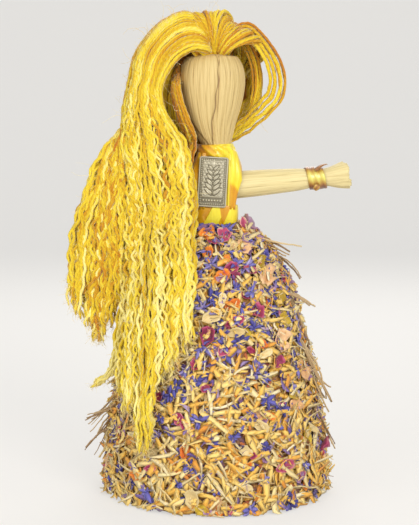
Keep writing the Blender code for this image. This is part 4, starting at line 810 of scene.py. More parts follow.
def spinYarn(name, lines, length, tone, dice, finish, nodes):
    count, stations = lines.shape[:2]
    radius = yarn["radius"] * dice.uniform(0.75, 1.2, (count, 1)) * np.ones((1, stations))
    radius *= 1 + 0.1 * np.sin(np.arange(stations) * 2.1 + dice.uniform(0, 6, (count, 1)))
    radius[:, -3:] *= [0.9, 0.75, 0.5]
    pieces = math.ceil(count / yarn["perPiece"])
    for n in range(pieces):
        pick = np.arange(count)[n::pieces]
        piece = putTubes(f"{name}_{n + 1}", yarnRings(lines[pick], radius[pick]), finish, tone[pick],
                         stretch=length[pick])
        settle(piece, "doll", "yarn", *(nodes if n == 0 else ()))


def makeHair(dice):
    # Every fall in its own shade; each strand differs a little and fades towards its end
    finish = yarnFinish()
    combed = []
    for name, fall in falls.items():
        lines, length = combFall(fall, dice)
        down = np.linspace(0, 1, lines.shape[1])[None, :]
        n = np.arange(len(lines))[:, None]
        drift = 0.1 * np.sin(n * 0.31 + down * 7) + 0.08 * np.sin(n * 0.83 - down * 11)
        tone = np.clip(dice.normal(fall["tone"], fall.get("vary", 0.14), (len(lines), 1)) + drift, 0.03, 0.88)
        tone = tone + 0.2 * np.clip((down - 0.35) / 0.65, 0, 1) ** 1.5 * dice.uniform(0, 1.4, (len(lines), 1))
        rooted = np.clip(1 - down * length[:, None] / (85 * mm), 0, 1)
        tone = np.clip(tone - yarn["rootShade"] * rooted, 0, 1)
        spinYarn(f"yarn_{name}", lines, length, tone, dice, finish, fall["nodes"])
        combed.append(lines)
    return combed


fuzz = dict(count=3000, flying=200, ends=4, radius=0.1 * mm, stations=5)


def makeFuzz(combed, dice):
    # Loose fibres curl off the strands, a few fly far, and every strand's end is frayed
    total = sum(len(lines) for lines in combed)
    start, ahead, length = [], [], []
    for lines in combed:
        along = tangents(lines)
        count = round(fuzz["count"] * len(lines) / total)
        far = round(fuzz["flying"] * len(lines) / total)
        i = dice.integers(0, len(lines), count + far)
        j = dice.integers(8, lines.shape[1], count + far)
        spot = lines[i, j]
        away = unit(spot - [doll["axisX"] - 10 * mm, 0, 0] - [0, 0, 1] * np.minimum(spot[:, 2:], 0.23))
        loose = dice.normal(0, 1, spot.shape)
        way = unit(unit(loose) + away * 0.55 + along[i, j] * 0.4)
        start.append(spot)
        ahead.append(way)
        length.append(np.concatenate([dice.uniform(2.5, 6.5, count), dice.uniform(8, 15, far)]) * mm)
        tips = np.repeat(lines[:, -2], fuzz["ends"], 0)
        splay = np.repeat(along[:, -1], fuzz["ends"], 0) + dice.normal(0, 0.45, tips.shape)
        start.append(tips)
        ahead.append(unit(splay))
        length.append(dice.uniform(3, 8, len(tips)) * mm)
    start, ahead, length = np.concatenate(start), np.concatenate(ahead), np.concatenate(length)
    s = np.linspace(0, 1, fuzz["stations"])[None, :, None]
    side = unit(np.cross(ahead, dice.normal(0, 1, ahead.shape)))[:, None]
    curl = dice.uniform(0.1, 0.75, (len(start), 1, 1)) * length[:, None, None]
    turns = dice.uniform(1.5, 5.5, (len(start), 1, 1))
    path = start[:, None] + ahead[:, None] * s * length[:, None, None]
    path = path + side * curl * (1 - np.cos(turns * s)) * 0.4
    path = path + np.cross(ahead[:, None], side) * curl * np.sin(turns * s) * 0.3
    path[..., 2] = np.maximum(path[..., 2], 1 * mm)
    along = tangents(path)
    across = unit(np.cross(along, side))
    radius = fuzz["radius"] * dice.uniform(0.7, 1.3, (len(start), 1)) * (1 - 0.5 * s[..., 0])
    turn = turnFull * np.arange(3) / 3
    rings = sweep(path, across, radius, np.cross(across, along), radius, np.stack([np.cos(turn), np.sin(turn)], -1))
    tone = dice.uniform(0, 1, len(start))
    finish = fuzzFinish()
    for n in range(2):
        piece = putTubes(f"loose_fibres_{n + 1}", rings[n::2], finish, tone[n::2])
        settle(piece, "doll", "yarn")


# Petals of the skirt

skirt = dict(low=1.2 * mm, high=158 * mm, bed=0.9 * mm)


def bedRadius(z):
    return coatRadius(z) + skirt["bed"]


def skirtPlace(angle, z, lift=0.0):
    # Point on the bed of petals with the directions out of it, across it and up it
    step = 1 * mm
    slope = (bedRadius(z + step) - bedRadius(z - step)) / (2 * step)
    slope = np.clip(slope, -3, 0)
    radial = np.stack([np.sin(angle), -np.cos(angle), 0 * angle], -1)
    across = np.stack([np.cos(angle), np.sin(angle), 0 * angle], -1)
    rise = np.stack([0 * angle, 0 * angle, 1 + 0 * angle], -1)
    up = unit(radial * slope[..., None] + rise)
    out = unit(radial - rise * slope[..., None])
    spot = radial * bedRadius(z)[..., None] + rise * z[..., None] + np.array([doll["axisX"], 0, 0])
    lift = np.asarray(lift) * (0.7 - 0.25 * (z / doll["waistZ"]) ** 3)
    return spot + out * lift[..., None], out, across, up


def strewn(count, dice, favour=(1, 0)):
    # Places spread evenly over the skirt by the golden angle; favour is how thickly they lie at the
    # hem and how much that grows towards the waist
    grid = np.linspace(skirt["low"], skirt["high"], 400)
    slope = np.gradient(bedRadius(grid), grid)
    weight = bedRadius(grid) * np.sqrt(1 + slope**2) * (favour[0] + favour[1] * grid / doll["waistZ"])
    total = np.concatenate([[0], np.cumsum((weight[1:] + weight[:-1]) / 2)])
    share = (np.arange(count) + dice.uniform(0, 1, count)) / count
    z = np.interp(share * total[-1], total, grid)
    angle = np.arange(count) * math.pi * (3 - math.sqrt(5)) + dice.normal(0, 0.12, count)
    return np.mod(angle + math.pi, turnFull) - math.pi, z


def underPixel(x, y):
    # Angle and height on the skirt of what lies under a pixel of the photograph
    ray = pixelRay(x, y)
    far = np.linspace(camera["distance"] - 90 * mm, camera["distance"] + 20 * mm, 600)
    points = eyePlace + ray * (far / ray[1])[:, None]
    side = points[:, 0] - doll["axisX"]
    clear = np.hypot(side, points[:, 1]) - bedRadius(points[:, 2]) - 2 * mm
    hit = np.argmax(clear < 0) if (clear < 0).any() else np.argmin(clear)
    return math.atan2(side[hit], -points[hit, 1]), min(points[hit, 2], skirt["high"])


def hold(rings):
    # Nothing goes through the floor: what would is lifted, each ring as a whole
    rings[..., 2] += np.maximum(doll["floor"] - rings[..., 2].min(-1, keepdims=True), 0)
    return rings


def aim(spots, length, dice, lift, tilt, turn=None):
    # A petal's middle with the directions along, beside and out of it: turned any way, tilted a little
    angle, z = spots
    spot, out, across, up = skirtPlace(angle, z, lift)
    heading = dice.uniform(0, turnFull, len(angle)) if turn is None else turn
    tilts = np.radians(dice.normal(0, tilt, len(angle)))[:, None]
    ahead = up * np.cos(heading)[:, None] + across * np.sin(heading)[:, None]
    aside = across * np.cos(heading)[:, None] - up * np.sin(heading)[:, None]
    return spot, ahead * np.cos(tilts) + out * np.sin(tilts), aside, out * np.cos(tilts) - ahead * np.sin(tilts)


def laidBlades(kind, dice, spots=None):
    # Narrow petals: a centre line curled off the bed, a half width from the kind's own profile and a
    # section raised along both edges
    spots = strewn(kind["count"], dice, kind["favour"]) if spots is None else spots
    count = len(spots[0])
    length, wide = (dice.uniform(*kind[size], count) * mm for size in ("length", "wide"))
    spot, ahead, aside, out = aim(spots, length, dice, dice.uniform(*kind["lift"], count) * mm, kind["tilt"])
    s = np.linspace(-1, 1, 5)[None, :]
    bow = dice.normal(kind["curl"], 0.3, count)[:, None] * length[:, None] * 0.28
    bend = dice.normal(0, 0.22, count)[:, None] * length[:, None] * 0.4
    path = spot[:, None] + ahead[:, None] * (s * length[:, None] / 2)[..., None]
    path += out[:, None] * (bow * s**2)[..., None] + aside[:, None] * (bend * (s**2 - 0.4))[..., None]
    roll = dice.normal(0, kind["twist"], count)[:, None] * s + dice.normal(0, 0.3, count)[:, None]
    side = aside[:, None] * np.cos(roll)[..., None] + out[:, None] * np.sin(roll)[..., None]
    face = out[:, None] * np.cos(roll)[..., None] - aside[:, None] * np.sin(roll)[..., None]
    half = wide[:, None] * np.array(kind["profile"]) * dice.uniform(0.85, 1.15, (count, 5))
    rings = sweep(path, side, half, face, np.full_like(half, 0.14 * mm), [(-1, 0), (0, 1), (1, 0), (0, -1)])
    rings[:, :, (0, 2)] += (face * (kind["cup"] * half)[..., None])[:, :, None]
    return hold(rings)


blades = dict(
    marigold=dict(
        count=2700, length=(10, 19), wide=(1.15, 2.2), lift=(0.3, 3.8), tilt=9, curl=0.22, twist=0.6, cup=0.3,
        profile=(0.5, 0.95, 1, 1, 0.75), favour=(1.15, -0.45), nodes=["petal_coat_lower"], slot="petal_crust",
        colours=[(0, (212, 122, 40)), (0.18, (240, 168, 62)), (0.4, (250, 204, 92)), (0.66, (254, 222, 132)),
                 (1, (255, 242, 190))], tone=(0.56, 0.24)),
    cream=dict(
        count=460, length=(11, 22), wide=(0.7, 1.4), lift=(2.0, 4.6), tilt=8, curl=0.3, twist=0.7, cup=0.4,
        profile=(0.6, 1, 1, 0.9, 0.6), favour=(1, -0.1), nodes=["petal_coat_middle"], slot="petal_crust",
        colours=[(0, (206, 176, 112)), (0.35, (234, 210, 146)), (0.7, (248, 232, 184)), (1, (254, 246, 218))],
        tone=(0.55, 0.25)),
    straw=dict(
        count=640, length=(8, 19), wide=(0.3, 0.6), lift=(1.4, 4.8), tilt=10, curl=0.25, twist=0.5, cup=0.5,
        profile=(0.7, 1, 1, 0.95, 0.75), favour=(0.9, 0.3), nodes=[], slot="dry_stalk",
        colours=[(0, (140, 104, 62)), (0.35, (196, 164, 108)), (0.65, (230, 206, 150)), (1, (248, 234, 192))],
        tone=(0.55, 0.25)),
    violet=dict(
        count=820, length=(5, 10), wide=(0.8, 1.7), lift=(0.6, 3.6), tilt=14, curl=0.6, twist=1.1, cup=0.6,
        profile=(0.5, 1, 1.1, 0.8, 0.25), favour=(0.5, 1.3), nodes=["petal_coat_upper"], slot="petal_crust",
        colours=[(0, (74, 50, 100)), (0.3, (112, 88, 154)), (0.6, (150, 126, 186)), (0.85, (192, 168, 206)),
                 (1, (226, 208, 218))], tone=(0.48, 0.26)),
    rust=dict(
        count=260, length=(5, 10), wide=(0.8, 1.5), lift=(0.2, 2.8), tilt=14, curl=0.5, twist=1.0, cup=0.5,
        profile=(0.5, 1, 1, 0.8, 0.4), favour=(0.8, 0.5), nodes=[], slot="petal_crust",
        colours=[(0, (120, 60, 52)), (0.35, (176, 88, 52)), (0.65, (222, 130, 72)), (1, (240, 176, 124))],
        tone=(0.5, 0.25)),
)


def makeBlades(dice):
    for name, kind in blades.items():
        finish = petalFinish(f"{name}Petal", *[(at, srgb(*colour)) for at, colour in kind["colours"]])
        rings = laidBlades(kind, dice)
        tone = np.clip(dice.normal(*kind["tone"], len(rings)), 0, 1)
        for n in range(math.ceil(len(rings) / 2000)):
            pick = slice(n * 2000, (n + 1) * 2000)
            piece = putTubes(f"{name}_strips_{n + 1}", rings[pick], finish, tone[pick])
            settle(piece, "doll", kind["slot"], *(kind["nodes"] if n == 0 else []))


# Broad petals: (length, width) in mm, how much their rim pales, and those that the photograph shows as
# (pixel x, pixel y, length, width, turn in degrees)
broad = dict(
    rose=dict(
        count=58, length=(5, 10), wide=(4, 7), favour=(0.35, 1.1), rim=0.7, cup=0.55,
        colours=[(0, (96, 22, 54)), (0.35, (156, 40, 88)), (0.62, (192, 78, 118)), (0.82, (222, 150, 146)),
                 (1, (246, 214, 176))],
        seen=[(230, 272, 11, 7, 60), (234, 323, 13, 6, 70), (228, 326, 8, 5, 20), (283, 466, 14, 8, 75),
              (208, 337, 12, 9, 15), (249, 273, 9, 6, 120), (244, 227, 15, 8, 6), (179, 420, 8, 7, 0),
              (236, 279, 9, 6, -30), (277, 362, 9, 7, 40)]),
    mauve=dict(
        count=70, length=(5, 10), wide=(4, 7), favour=(0.3, 1.3), rim=0.35, cup=0.6,
        colours=[(0, (96, 66, 108)), (0.4, (150, 108, 150)), (0.7, (190, 154, 182)), (1, (226, 202, 206))],
        seen=[(252, 222, 15, 9, 25), (246, 243, 12, 9, 80), (208, 229, 14, 7, 75), (204, 234, 12, 6, 100),
              (257, 219, 11, 7, -20), (214, 352, 12, 6, 70)]),
    peach=dict(
        count=20, length=(9, 14), wide=(8, 12), favour=(1, 0), rim=0.2, cup=0.3,
        colours=[(0, (206, 150, 96)), (0.4, (228, 178, 124)), (0.75, (240, 204, 160)), (1, (250, 230, 200))],
        seen=[(264, 277, 17, 15, 30), (279, 341, 15, 13, 0), (301, 372, 14, 12, 20), (242, 250, 13, 11, 80),
              (293, 408, 13, 11, 10)]),
    olive=dict(
        count=12, length=(7, 10), wide=(6, 9), favour=(0.8, 0.2), rim=0.15, cup=0.3,
        colours=[(0, (146, 116, 10)), (0.4, (190, 156, 20)), (0.75, (220, 190, 54)), (1, (240, 222, 120))],
        seen=[(257, 262, 13, 11, 0), (281, 322, 12, 10, 60), (291, 394, 12, 11, 0), (277, 299, 12, 11, 20),
              (306, 436, 10, 8, 0)]),
    orange=dict(
        count=46, length=(6, 11), wide=(3.5, 6), favour=(0.8, 0.3), rim=0.3, cup=0.5,
        colours=[(0, (198, 84, 16)), (0.4, (232, 128, 26)), (0.75, (244, 168, 52)), (1, (250, 208, 116))],
        seen=[(206, 238, 11, 8, 60), (222, 279, 12, 8, 60), (232, 306, 12, 6, 60), (208, 256, 10, 6, 20),
              (268, 303, 8, 6, 0), (186, 452, 9, 7, 20)]),
    pale=dict(
        count=80, length=(7, 13), wide=(3.5, 6.5), favour=(1, 0), rim=0.3, cup=0.5,
        colours=[(0, (196, 170, 110)), (0.4, (226, 204, 148)), (0.75, (244, 230, 186)), (1, (252, 244, 218))],
        seen=[(232, 334, 16, 6, 85), (222, 302, 10, 5, 10), (273, 268, 12, 8, 0), (211, 318, 14, 9, 60),
              (193, 499, 14, 9, -10), (261, 224, 13, 10, 20), (196, 247, 12, 5, 40)]),
)


def laidPetals(spots, length, wide, turn, lift, cup, dice):
    # Broad petals: rows along and columns across; the half width swells past the middle, both edges
    # and the tip curl up and the rim is uneven
    count = len(length)
    spot, ahead, aside, out = aim(spots, length, dice, lift, 14, turn)
    s = np.linspace(-1, 1, 8)[None, :, None]
    t = np.linspace(-1, 1, 6)[None, None, :]
    L, W = length[:, None, None] * 0.46, wide[:, None, None] * 0.44
    half = W * np.sqrt(1 - (0.96 * s) ** 2) * (1 + 0.25 * s + 0.14 * np.sin(7 * s + dice.uniform(0, 6, (count, 1, 1))))
    cup = cup * dice.uniform(0.3, 1.7, count)[:, None, None]
    skew = dice.normal(0, 0.3, (count, 1, 1))
    wave = np.sin(s * 5 + dice.uniform(0, 6, (count, 1, 1))) * t**2 * 0.25 * W
    wave = wave + 0.16 * W * np.sin(3.6 * s + dice.uniform(0, 6, (count, 1, 1))) * np.sin(
        4.4 * t + dice.uniform(0, 6, (count, 1, 1)))
    lifted = cup * (t**2 * half * 1.1 + s**2 * L * 0.5) + skew * t * half * 0.5 + wave
    along = s * L * (1 + 0.06 * np.sin(t * 7 + dice.uniform(0, 6, (count, 1, 1))))
    grid = spot[:, None, None] + ahead[:, None, None] * along[..., None] + aside[:, None, None] * (t * half)[..., None]
    grid = grid + out[:, None, None] * lifted[..., None]
    low = np.maximum(doll["floor"] + 0.3 * mm - grid[..., 2].min((1, 2), keepdims=True), 0)
    grid[..., 2] += low
    return grid + out[:, None, None] * 0.12 * mm, grid - out[:, None, None] * 0.12 * mm


def putPetals(name, top, low, finish, tone):
    # Closed thin sheets: both faces and the rim between them, mapped across and along each petal
    count, rows, columns = top.shape[:3]
    size = rows * columns
    i, j = (a.ravel() for a in np.meshgrid(np.arange(rows - 1), np.arange(columns - 1), indexing="ij"))
    a = i * columns + j
    face = np.stack([a, a + 1, a + columns + 1, a + columns], -1)
    u, v = np.stack([j, j + 1, j + 1, j], -1) / (columns - 1), np.stack([i, i, i + 1, i + 1], -1) / (rows - 1)
    rim = np.concatenate([np.arange(columns), np.arange(2, rows) * columns - 1, size - 1 - np.arange(columns),
                          np.arange(rows - 2, 0, -1) * columns])
    edge = np.stack([np.roll(rim, -1), rim, rim + size, np.roll(rim, -1) + size], -1)
    once = np.concatenate([face, face[:, ::-1] + size, edge])
    spread = np.stack([u, v], -1)
    place = np.stack([rim % columns / (columns - 1), rim // columns / (rows - 1)], -1)
    rimmed = np.stack([np.roll(place, -1, 0), place, place, np.roll(place, -1, 0)], 1)
    lay = np.concatenate([spread, spread[:, ::-1], rimmed])
    quads = (np.arange(count)[:, None, None] * 2 * size + once).reshape(-1, 4)
    points = np.stack([top.reshape(count, -1, 3), low.reshape(count, -1, 3)], 1)
    quads, turned = outward(points, quads)
    lay = np.tile(lay[None], (count, 1, 1, 1)).reshape(-1, 4, 2)
    lay = lay[:, ::-1] if turned else lay
    return putMesh(name, points, quads, finish, None, lay, traits=dict(tone=np.repeat(tone, 2 * size)))


def broadFinish(name, kind):
    # Veins fan from the foot; the rim is paler than the middle
    finish = Finish(name, Roughness=0.55, Sheen_Weight=0.2)
    lay = finish.along(1, 1)
    t, s = finish.part(lay, 0) * 2 - 1, finish.part(lay, 1) * 2 - 1
    rim = (t * t + s * s * 0.8).step(0.35, 1.25)
    veins, cloud = finish.noise(finish.along(11, 1.1), 1, 3), finish.noise(finish.inPlace(), 420, 3)
    shade = finish.trait("tone") * 0.45 + veins * 0.4 + cloud * 0.5 + rim * kind["rim"] * 0.6 - 0.32
    finish.feed("Base Color", finish.ramp(shade, *[(at, srgb(*colour)) for at, colour in kind["colours"]]))
    finish.feed("Roughness", veins * 0.3 + 0.38)
    finish.bump(veins * 0.7 + cloud * 0.3, 0.35 * mm, 0.8)
    return finish.material


def makeBroadPetals(dice):
    for name, kind in broad.items():
        angle, z = strewn(kind["count"], dice, kind["favour"])
        length, wide = (dice.uniform(*kind[size], kind["count"]) * mm for size in ("length", "wide"))
        turn, lift = dice.uniform(0, turnFull, kind["count"]), dice.uniform(1.2, 3.4, kind["count"]) * mm
        seen = np.array([[*underPixel(x, y), a * mm, b * mm, math.radians(c), 3.4 * mm] for x, y, a, b, c in kind["seen"]])
        if name == "rose":
            boxes = [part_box(f"rose_petal_{n}") for n in range(1, 5)]
            middle = np.array([[(a + b) / 2 for a, b in zip(*box)] for box in boxes])
            spots = np.stack([np.arctan2(middle[:, 0] - doll["axisX"], -middle[:, 1]), middle[:, 2]], -1)
            sizes = np.array([[12, 9.5, 0.26, 3.4], [11, 9.5, -0.5, 3.4], [11, 8.5, 0.7, 3.4], [13, 9.5, 0.44, 3.4]])
            sizes[:, (0, 1, 3)] *= mm
            seen = np.concatenate([seen, np.concatenate([spots, sizes], 1)])
        both = [np.concatenate([a, b]) for a, b in zip((angle, z, length, wide, turn, lift), seen.T)]
        top, low = laidPetals((both[0], both[1]), both[2], both[3], both[4], both[5], kind["cup"], dice)
        tone = np.clip(dice.normal(0.45, 0.22, len(top)), 0, 1)
        piece = putPetals(f"{name}_petals", top, low, broadFinish(f"{name}Bloom", kind), tone)
        nodes = [f"rose_petal_{n}" for n in range(1, 5)] if name == "rose" else []
        settle(piece, "doll", "rose_petal", *nodes)


floret = dict(
    count=300, lobes=8, length=(2.6, 5.0), wide=(0.8, 1.5),
    seen=[(249, 294), (206, 226), (214, 224), (211, 267), (235, 266), (245, 269), (198, 279), (211, 299),
          (198, 303), (203, 309), (273, 313), (253, 329), (238, 343), (224, 344), (202, 348), (296, 343),
          (254, 374), (281, 410), (294, 315), (170, 396), (146, 446), (148, 492), (250, 510), (289, 504),
          (199, 421), (177, 386), (240, 322), (266, 402), (225, 231), (207, 253)],
    colours=[(0, (52, 44, 112)), (0.25, (80, 76, 162)), (0.5, (108, 104, 188)), (0.75, (148, 138, 204)),
             (1, (200, 188, 222))],
)


def makeFlorets(dice):
    # Cornflower florets: crumpled lobes that rise from one point and open outwards
    finish = petalFinish("cornflower", *[(at, srgb(*colour)) for at, colour in floret["colours"]])
    lobes = floret["lobes"]
    angle, z = strewn(floret["count"], dice, (0.7, 0.75))
    seen = np.array([underPixel(*pixel) for pixel in floret["seen"]])
    angle, z = np.concatenate([angle, seen[:, 0]]), np.concatenate([z, seen[:, 1]])
    count = len(angle)
    lift = np.where(np.arange(count) < floret["count"], dice.uniform(0.8, 2.8, count), 3.2) * mm
    big = np.where(np.arange(count) < floret["count"], 1.0, 1.25)[:, None, None]
    spot, out, across, up = skirtPlace(angle, z, lift)
    start = dice.uniform(0, turnFull, (count, 1)) + turnFull * np.arange(lobes) / lobes
    start = start + dice.normal(0, 0.35, (count, lobes))
    flat = up[:, None] * np.cos(start)[..., None] + across[:, None] * np.sin(start)[..., None]
    length = dice.uniform(*floret["length"], (count, lobes))[..., None] * mm * big
    s = np.linspace(0, 1, 5)
    opened = dice.uniform(0.35, 1.5, (count, lobes))[..., None]
    reach = s * np.cos(opened * (1 - s * 0.5)) * length
    rise = np.sin(opened) * s * (1.15 - 0.55 * s) * length * 0.8
    crook = dice.normal(0, 0.55, (count, lobes, 1)) * s**2 * length
    beside = np.cross(flat, out[:, None])
    path = spot[:, None, None] + flat[:, :, None] * reach[..., None] + out[:, None, None] * rise[..., None]
    path = (path + beside[:, :, None] * crook[..., None]).reshape(-1, 5, 3)
    along = tangents(path)
    face = np.repeat(out, lobes, 0)[:, None] * np.ones((1, 5, 1))
    side = unit(np.cross(along, face))
    roll = dice.normal(0, 1.1, (count * lobes, 1, 1)) * s[None, :, None]
    side, face = side * np.cos(roll) + np.cross(side, along) * np.sin(roll), np.cross(side, along)
    wide = dice.uniform(*floret["wide"], (count * lobes, 1)) * mm * np.array([[0.4, 0.75, 1.0, 1.15, 0.35]])
    wide = wide * dice.uniform(0.75, 1.25, wide.shape)
    section = [(-1, 0.9), (0, 1), (1, 0.9), (0, -1)]
    rings = sweep(path, side, wide, face, np.full_like(wide, 0.15 * mm), section)
    tone = np.clip(np.repeat(dice.uniform(0.05, 0.85, count), lobes) + dice.normal(0, 0.12, count * lobes), 0, 1)
    piece = putTubes("cornflower_florets", hold(rings), finish, tone)
    settle(piece, "doll", "petal_crust")


def makeBed(dice):
    # The ground under the petals: a wall round the leaves whose face is rough with scraps
    rows, columns = 60, 200
    z = np.linspace(skirt["low"], skirt["high"], rows)[:, None] + 0 * np.zeros((1, columns))
    angle = turnFull * np.arange(columns)[None] / columns + 0 * z
    rough = dice.uniform(0, 1, (rows, columns)) * 1.1 * mm
    outer = coatRadius(z) + skirt["bed"] * 0.8 + rough
    inner = coatRadius(z) + 0.1 * mm
    radial = np.stack([np.sin(angle), -np.cos(angle), 0 * angle], -1)
    rise = np.stack([doll["axisX"] + 0 * z, 0 * z, z], -1)
    piece = putWall("petal_bed", radial * outer[..., None] + rise, radial * inner[..., None] + rise, bedFinish(),
                    closed=True)
    settle(piece, "doll", "petal_crust")


# Stems: (start, end) of the centre line by node, then bunches seen in the photograph as the two ends'
# pixels with the count of stems, spread and thickness in mm
stems = dict(
    nodes=["stalk_right_1", "stalk_right_2", "stalk_right_3", "stalk_left_1", "stalk_left_2"],
    bunches=[
        (258, 222, 281, 262, 6, 2.2, 0.8), (262, 226, 290, 254, 2, 0.8, 0.9), (266, 234, 292, 290, 6, 2.2, 0.75),
        (276, 256, 301, 279, 2, 0.8, 0.75), (274, 250, 293, 287, 3, 1.2, 0.7), (282, 293, 309, 305, 1, 0.3, 1.3),
        (290, 300, 311, 350, 5, 2.2, 0.7), (298, 340, 328, 402, 7, 2.2, 0.85), (298, 369, 314, 367, 2, 1.0, 1.0),
        (314, 404, 333, 446, 4, 1.8, 0.6), (119, 402, 91, 417, 3, 1.6, 0.6),
        (114, 411, 96, 440, 7, 4.0, 0.6), (118, 396, 92, 428, 4, 3.5, 0.5), (209, 368, 231, 398, 1, 0.4, 0.9),
        (236, 447, 266, 448, 1, 0.4, 0.75), (259, 398, 270, 424, 1, 0.5, 0.7), (200, 430, 224, 470, 2, 2.0, 0.6),
    ],
)


def makeStems(dice):
    # Round stems, bowed and a little kinked, thinner towards the free end
    finish = petalFinish("dryStem", (0, srgb(118, 88, 58)), (0.4, srgb(166, 136, 98)), (0.7, srgb(204, 178, 132)),
                         (1, srgb(240, 224, 178)))
    ends, thick = [], []
    for node in stems["nodes"]:
        low, high = (np.array(c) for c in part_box(node))
        x = (low[0], high[0]) if "right" in node else (high[0], low[0])
        middle = (low[1] + high[1]) / 2
        root = [x[0], middle, high[2] - 0.8 * mm]
        angle = math.atan2(root[0] - doll["axisX"], -root[1])
        root = skirtPlace(np.array([angle]), np.array([root[2]]), np.array([1.5 * mm]))[0][0]
        ends.append([root, [x[1], middle, low[2] + 0.5 * mm]])
        thick.append(0.7)
    for x0, y0, x1, y1, count, spread, radius in stems["bunches"]:
        angle, z = underPixel(x0, y0)
        root = skirtPlace(np.array([angle]), np.array([z]), np.array([3.2 * mm]))[0][0]
        away = pixelRay(x1, y1)
        tip = eyePlace + away * ((root[1] * 0.6 - 3 * mm + camera["distance"]) / away[1])
        for _ in range(count):
            ends.append([root + dice.normal(0, spread * 0.45, 3) * mm, tip + dice.normal(0, spread, 3) * [1, 0.7, 1] * mm])
            thick.append(radius * dice.uniform(0.6, 1.15))
    ends, thick = np.array(ends), np.array(thick)[:, None] * mm
    s = np.linspace(0, 1, 12)[None, :, None]
    path = between(ends[:, :1], ends[:, 1:], s)
    path = path + dice.normal(0, 1.0, (len(ends), 1, 3)) * np.sin(math.pi * s) * mm
    path = path + dice.normal(0, 0.12, path.shape) * mm
    radius = thick * (1.1 - 0.45 * s[..., 0]) * dice.uniform(0.9, 1.1, (len(ends), 12))
    piece = putTubes("dry_stems", hold(yarnRings(path, radius)), finish, np.clip(dice.normal(0.5, 0.22, len(ends)), 0, 1))
    settle(piece, "doll", "dry_stalk", *stems["nodes"])


# Husk: the head and chest, the arms, the skirt's leaves

torso = dict(height=44 * mm, headHeight=56 * mm)
# Rows down a leaf: height from waist (0) to neck (1) to crown (2), how flat its front is, and how far
# round it reaches as a share of a quarter turn
leafRows = [
    (-0.12, 0, 0.86), (0.06, 0.1, 0.8), (0.2, 0.3, 0.7), (0.28, 1, 0.6), (0.7, 1, 0.6), (0.81, 0.4, 0.7),
    (0.89, 0.1, 0.84), (0.95, 0, 0.92), (1.04, 0, 0.98), (1.1, 0, 1.0), (2.0, 0, 1.0),
]
head = dict(
    rows=84, columns=170, pleat=0.26 * mm, neckPleat=0.42 * mm, grow=0.45 * mm, lap=0.3 * mm, wall=0.5 * mm,
    foldLift=1.05 * mm, edgeStep=0.75 * mm,
)


def leafPoint(t, h, side, lift):
    # Point t of the way across (-1 to 1) and h up one husk leaf, lift outside the CAD leaf's face
    flat = smoothTable([(a, b) for a, b, c in leafRows], h)
    reach = smoothTable([(a, c) for a, b, c in leafRows], h)
    share = np.clip(h - 1, 0, 1)
    headWide, headDeep = headSizes(share)
    fullness = np.clip((0.94 - h) / 0.2, 0, 1)
    wide = np.where(h > 1, headWide, between(doll["neckRadius"], doll["waistWide"], fullness))
    deep = np.where(h > 1, headDeep, between(doll["neckRadius"], doll["bodiceDeep"], fullness))
    low = doll["waistZ"] + h * torso["height"]
    z = np.where(h > 1, doll["neckZ"] + share * torso["headHeight"], low)
    angle = t * reach * math.pi / 2
    shift = np.where(h > 1, headShift(share), 0)
    x = doll["axisX"] + shift + (wide + lift) * np.sin(angle)
    y = side * (deep + lift) * between(np.cos(angle), 1, flat)
    return np.stack([x, y, z + 0 * t], -1)


def pleats(t, h, dice, count=5):
    # Fine lengthwise ripples: waves of many widths whose lines wander a little as they run down
    total = 0 * t
    for lines in np.geomspace(19, 95, count):
        bend = dice.uniform(0, turnFull) + 1.3 * np.sin(h * dice.uniform(2, 5) + dice.uniform(0, 6))
        total = total + np.abs(np.sin(lines * t + bend)) ** 0.6 - 0.66
    return total / count * 2


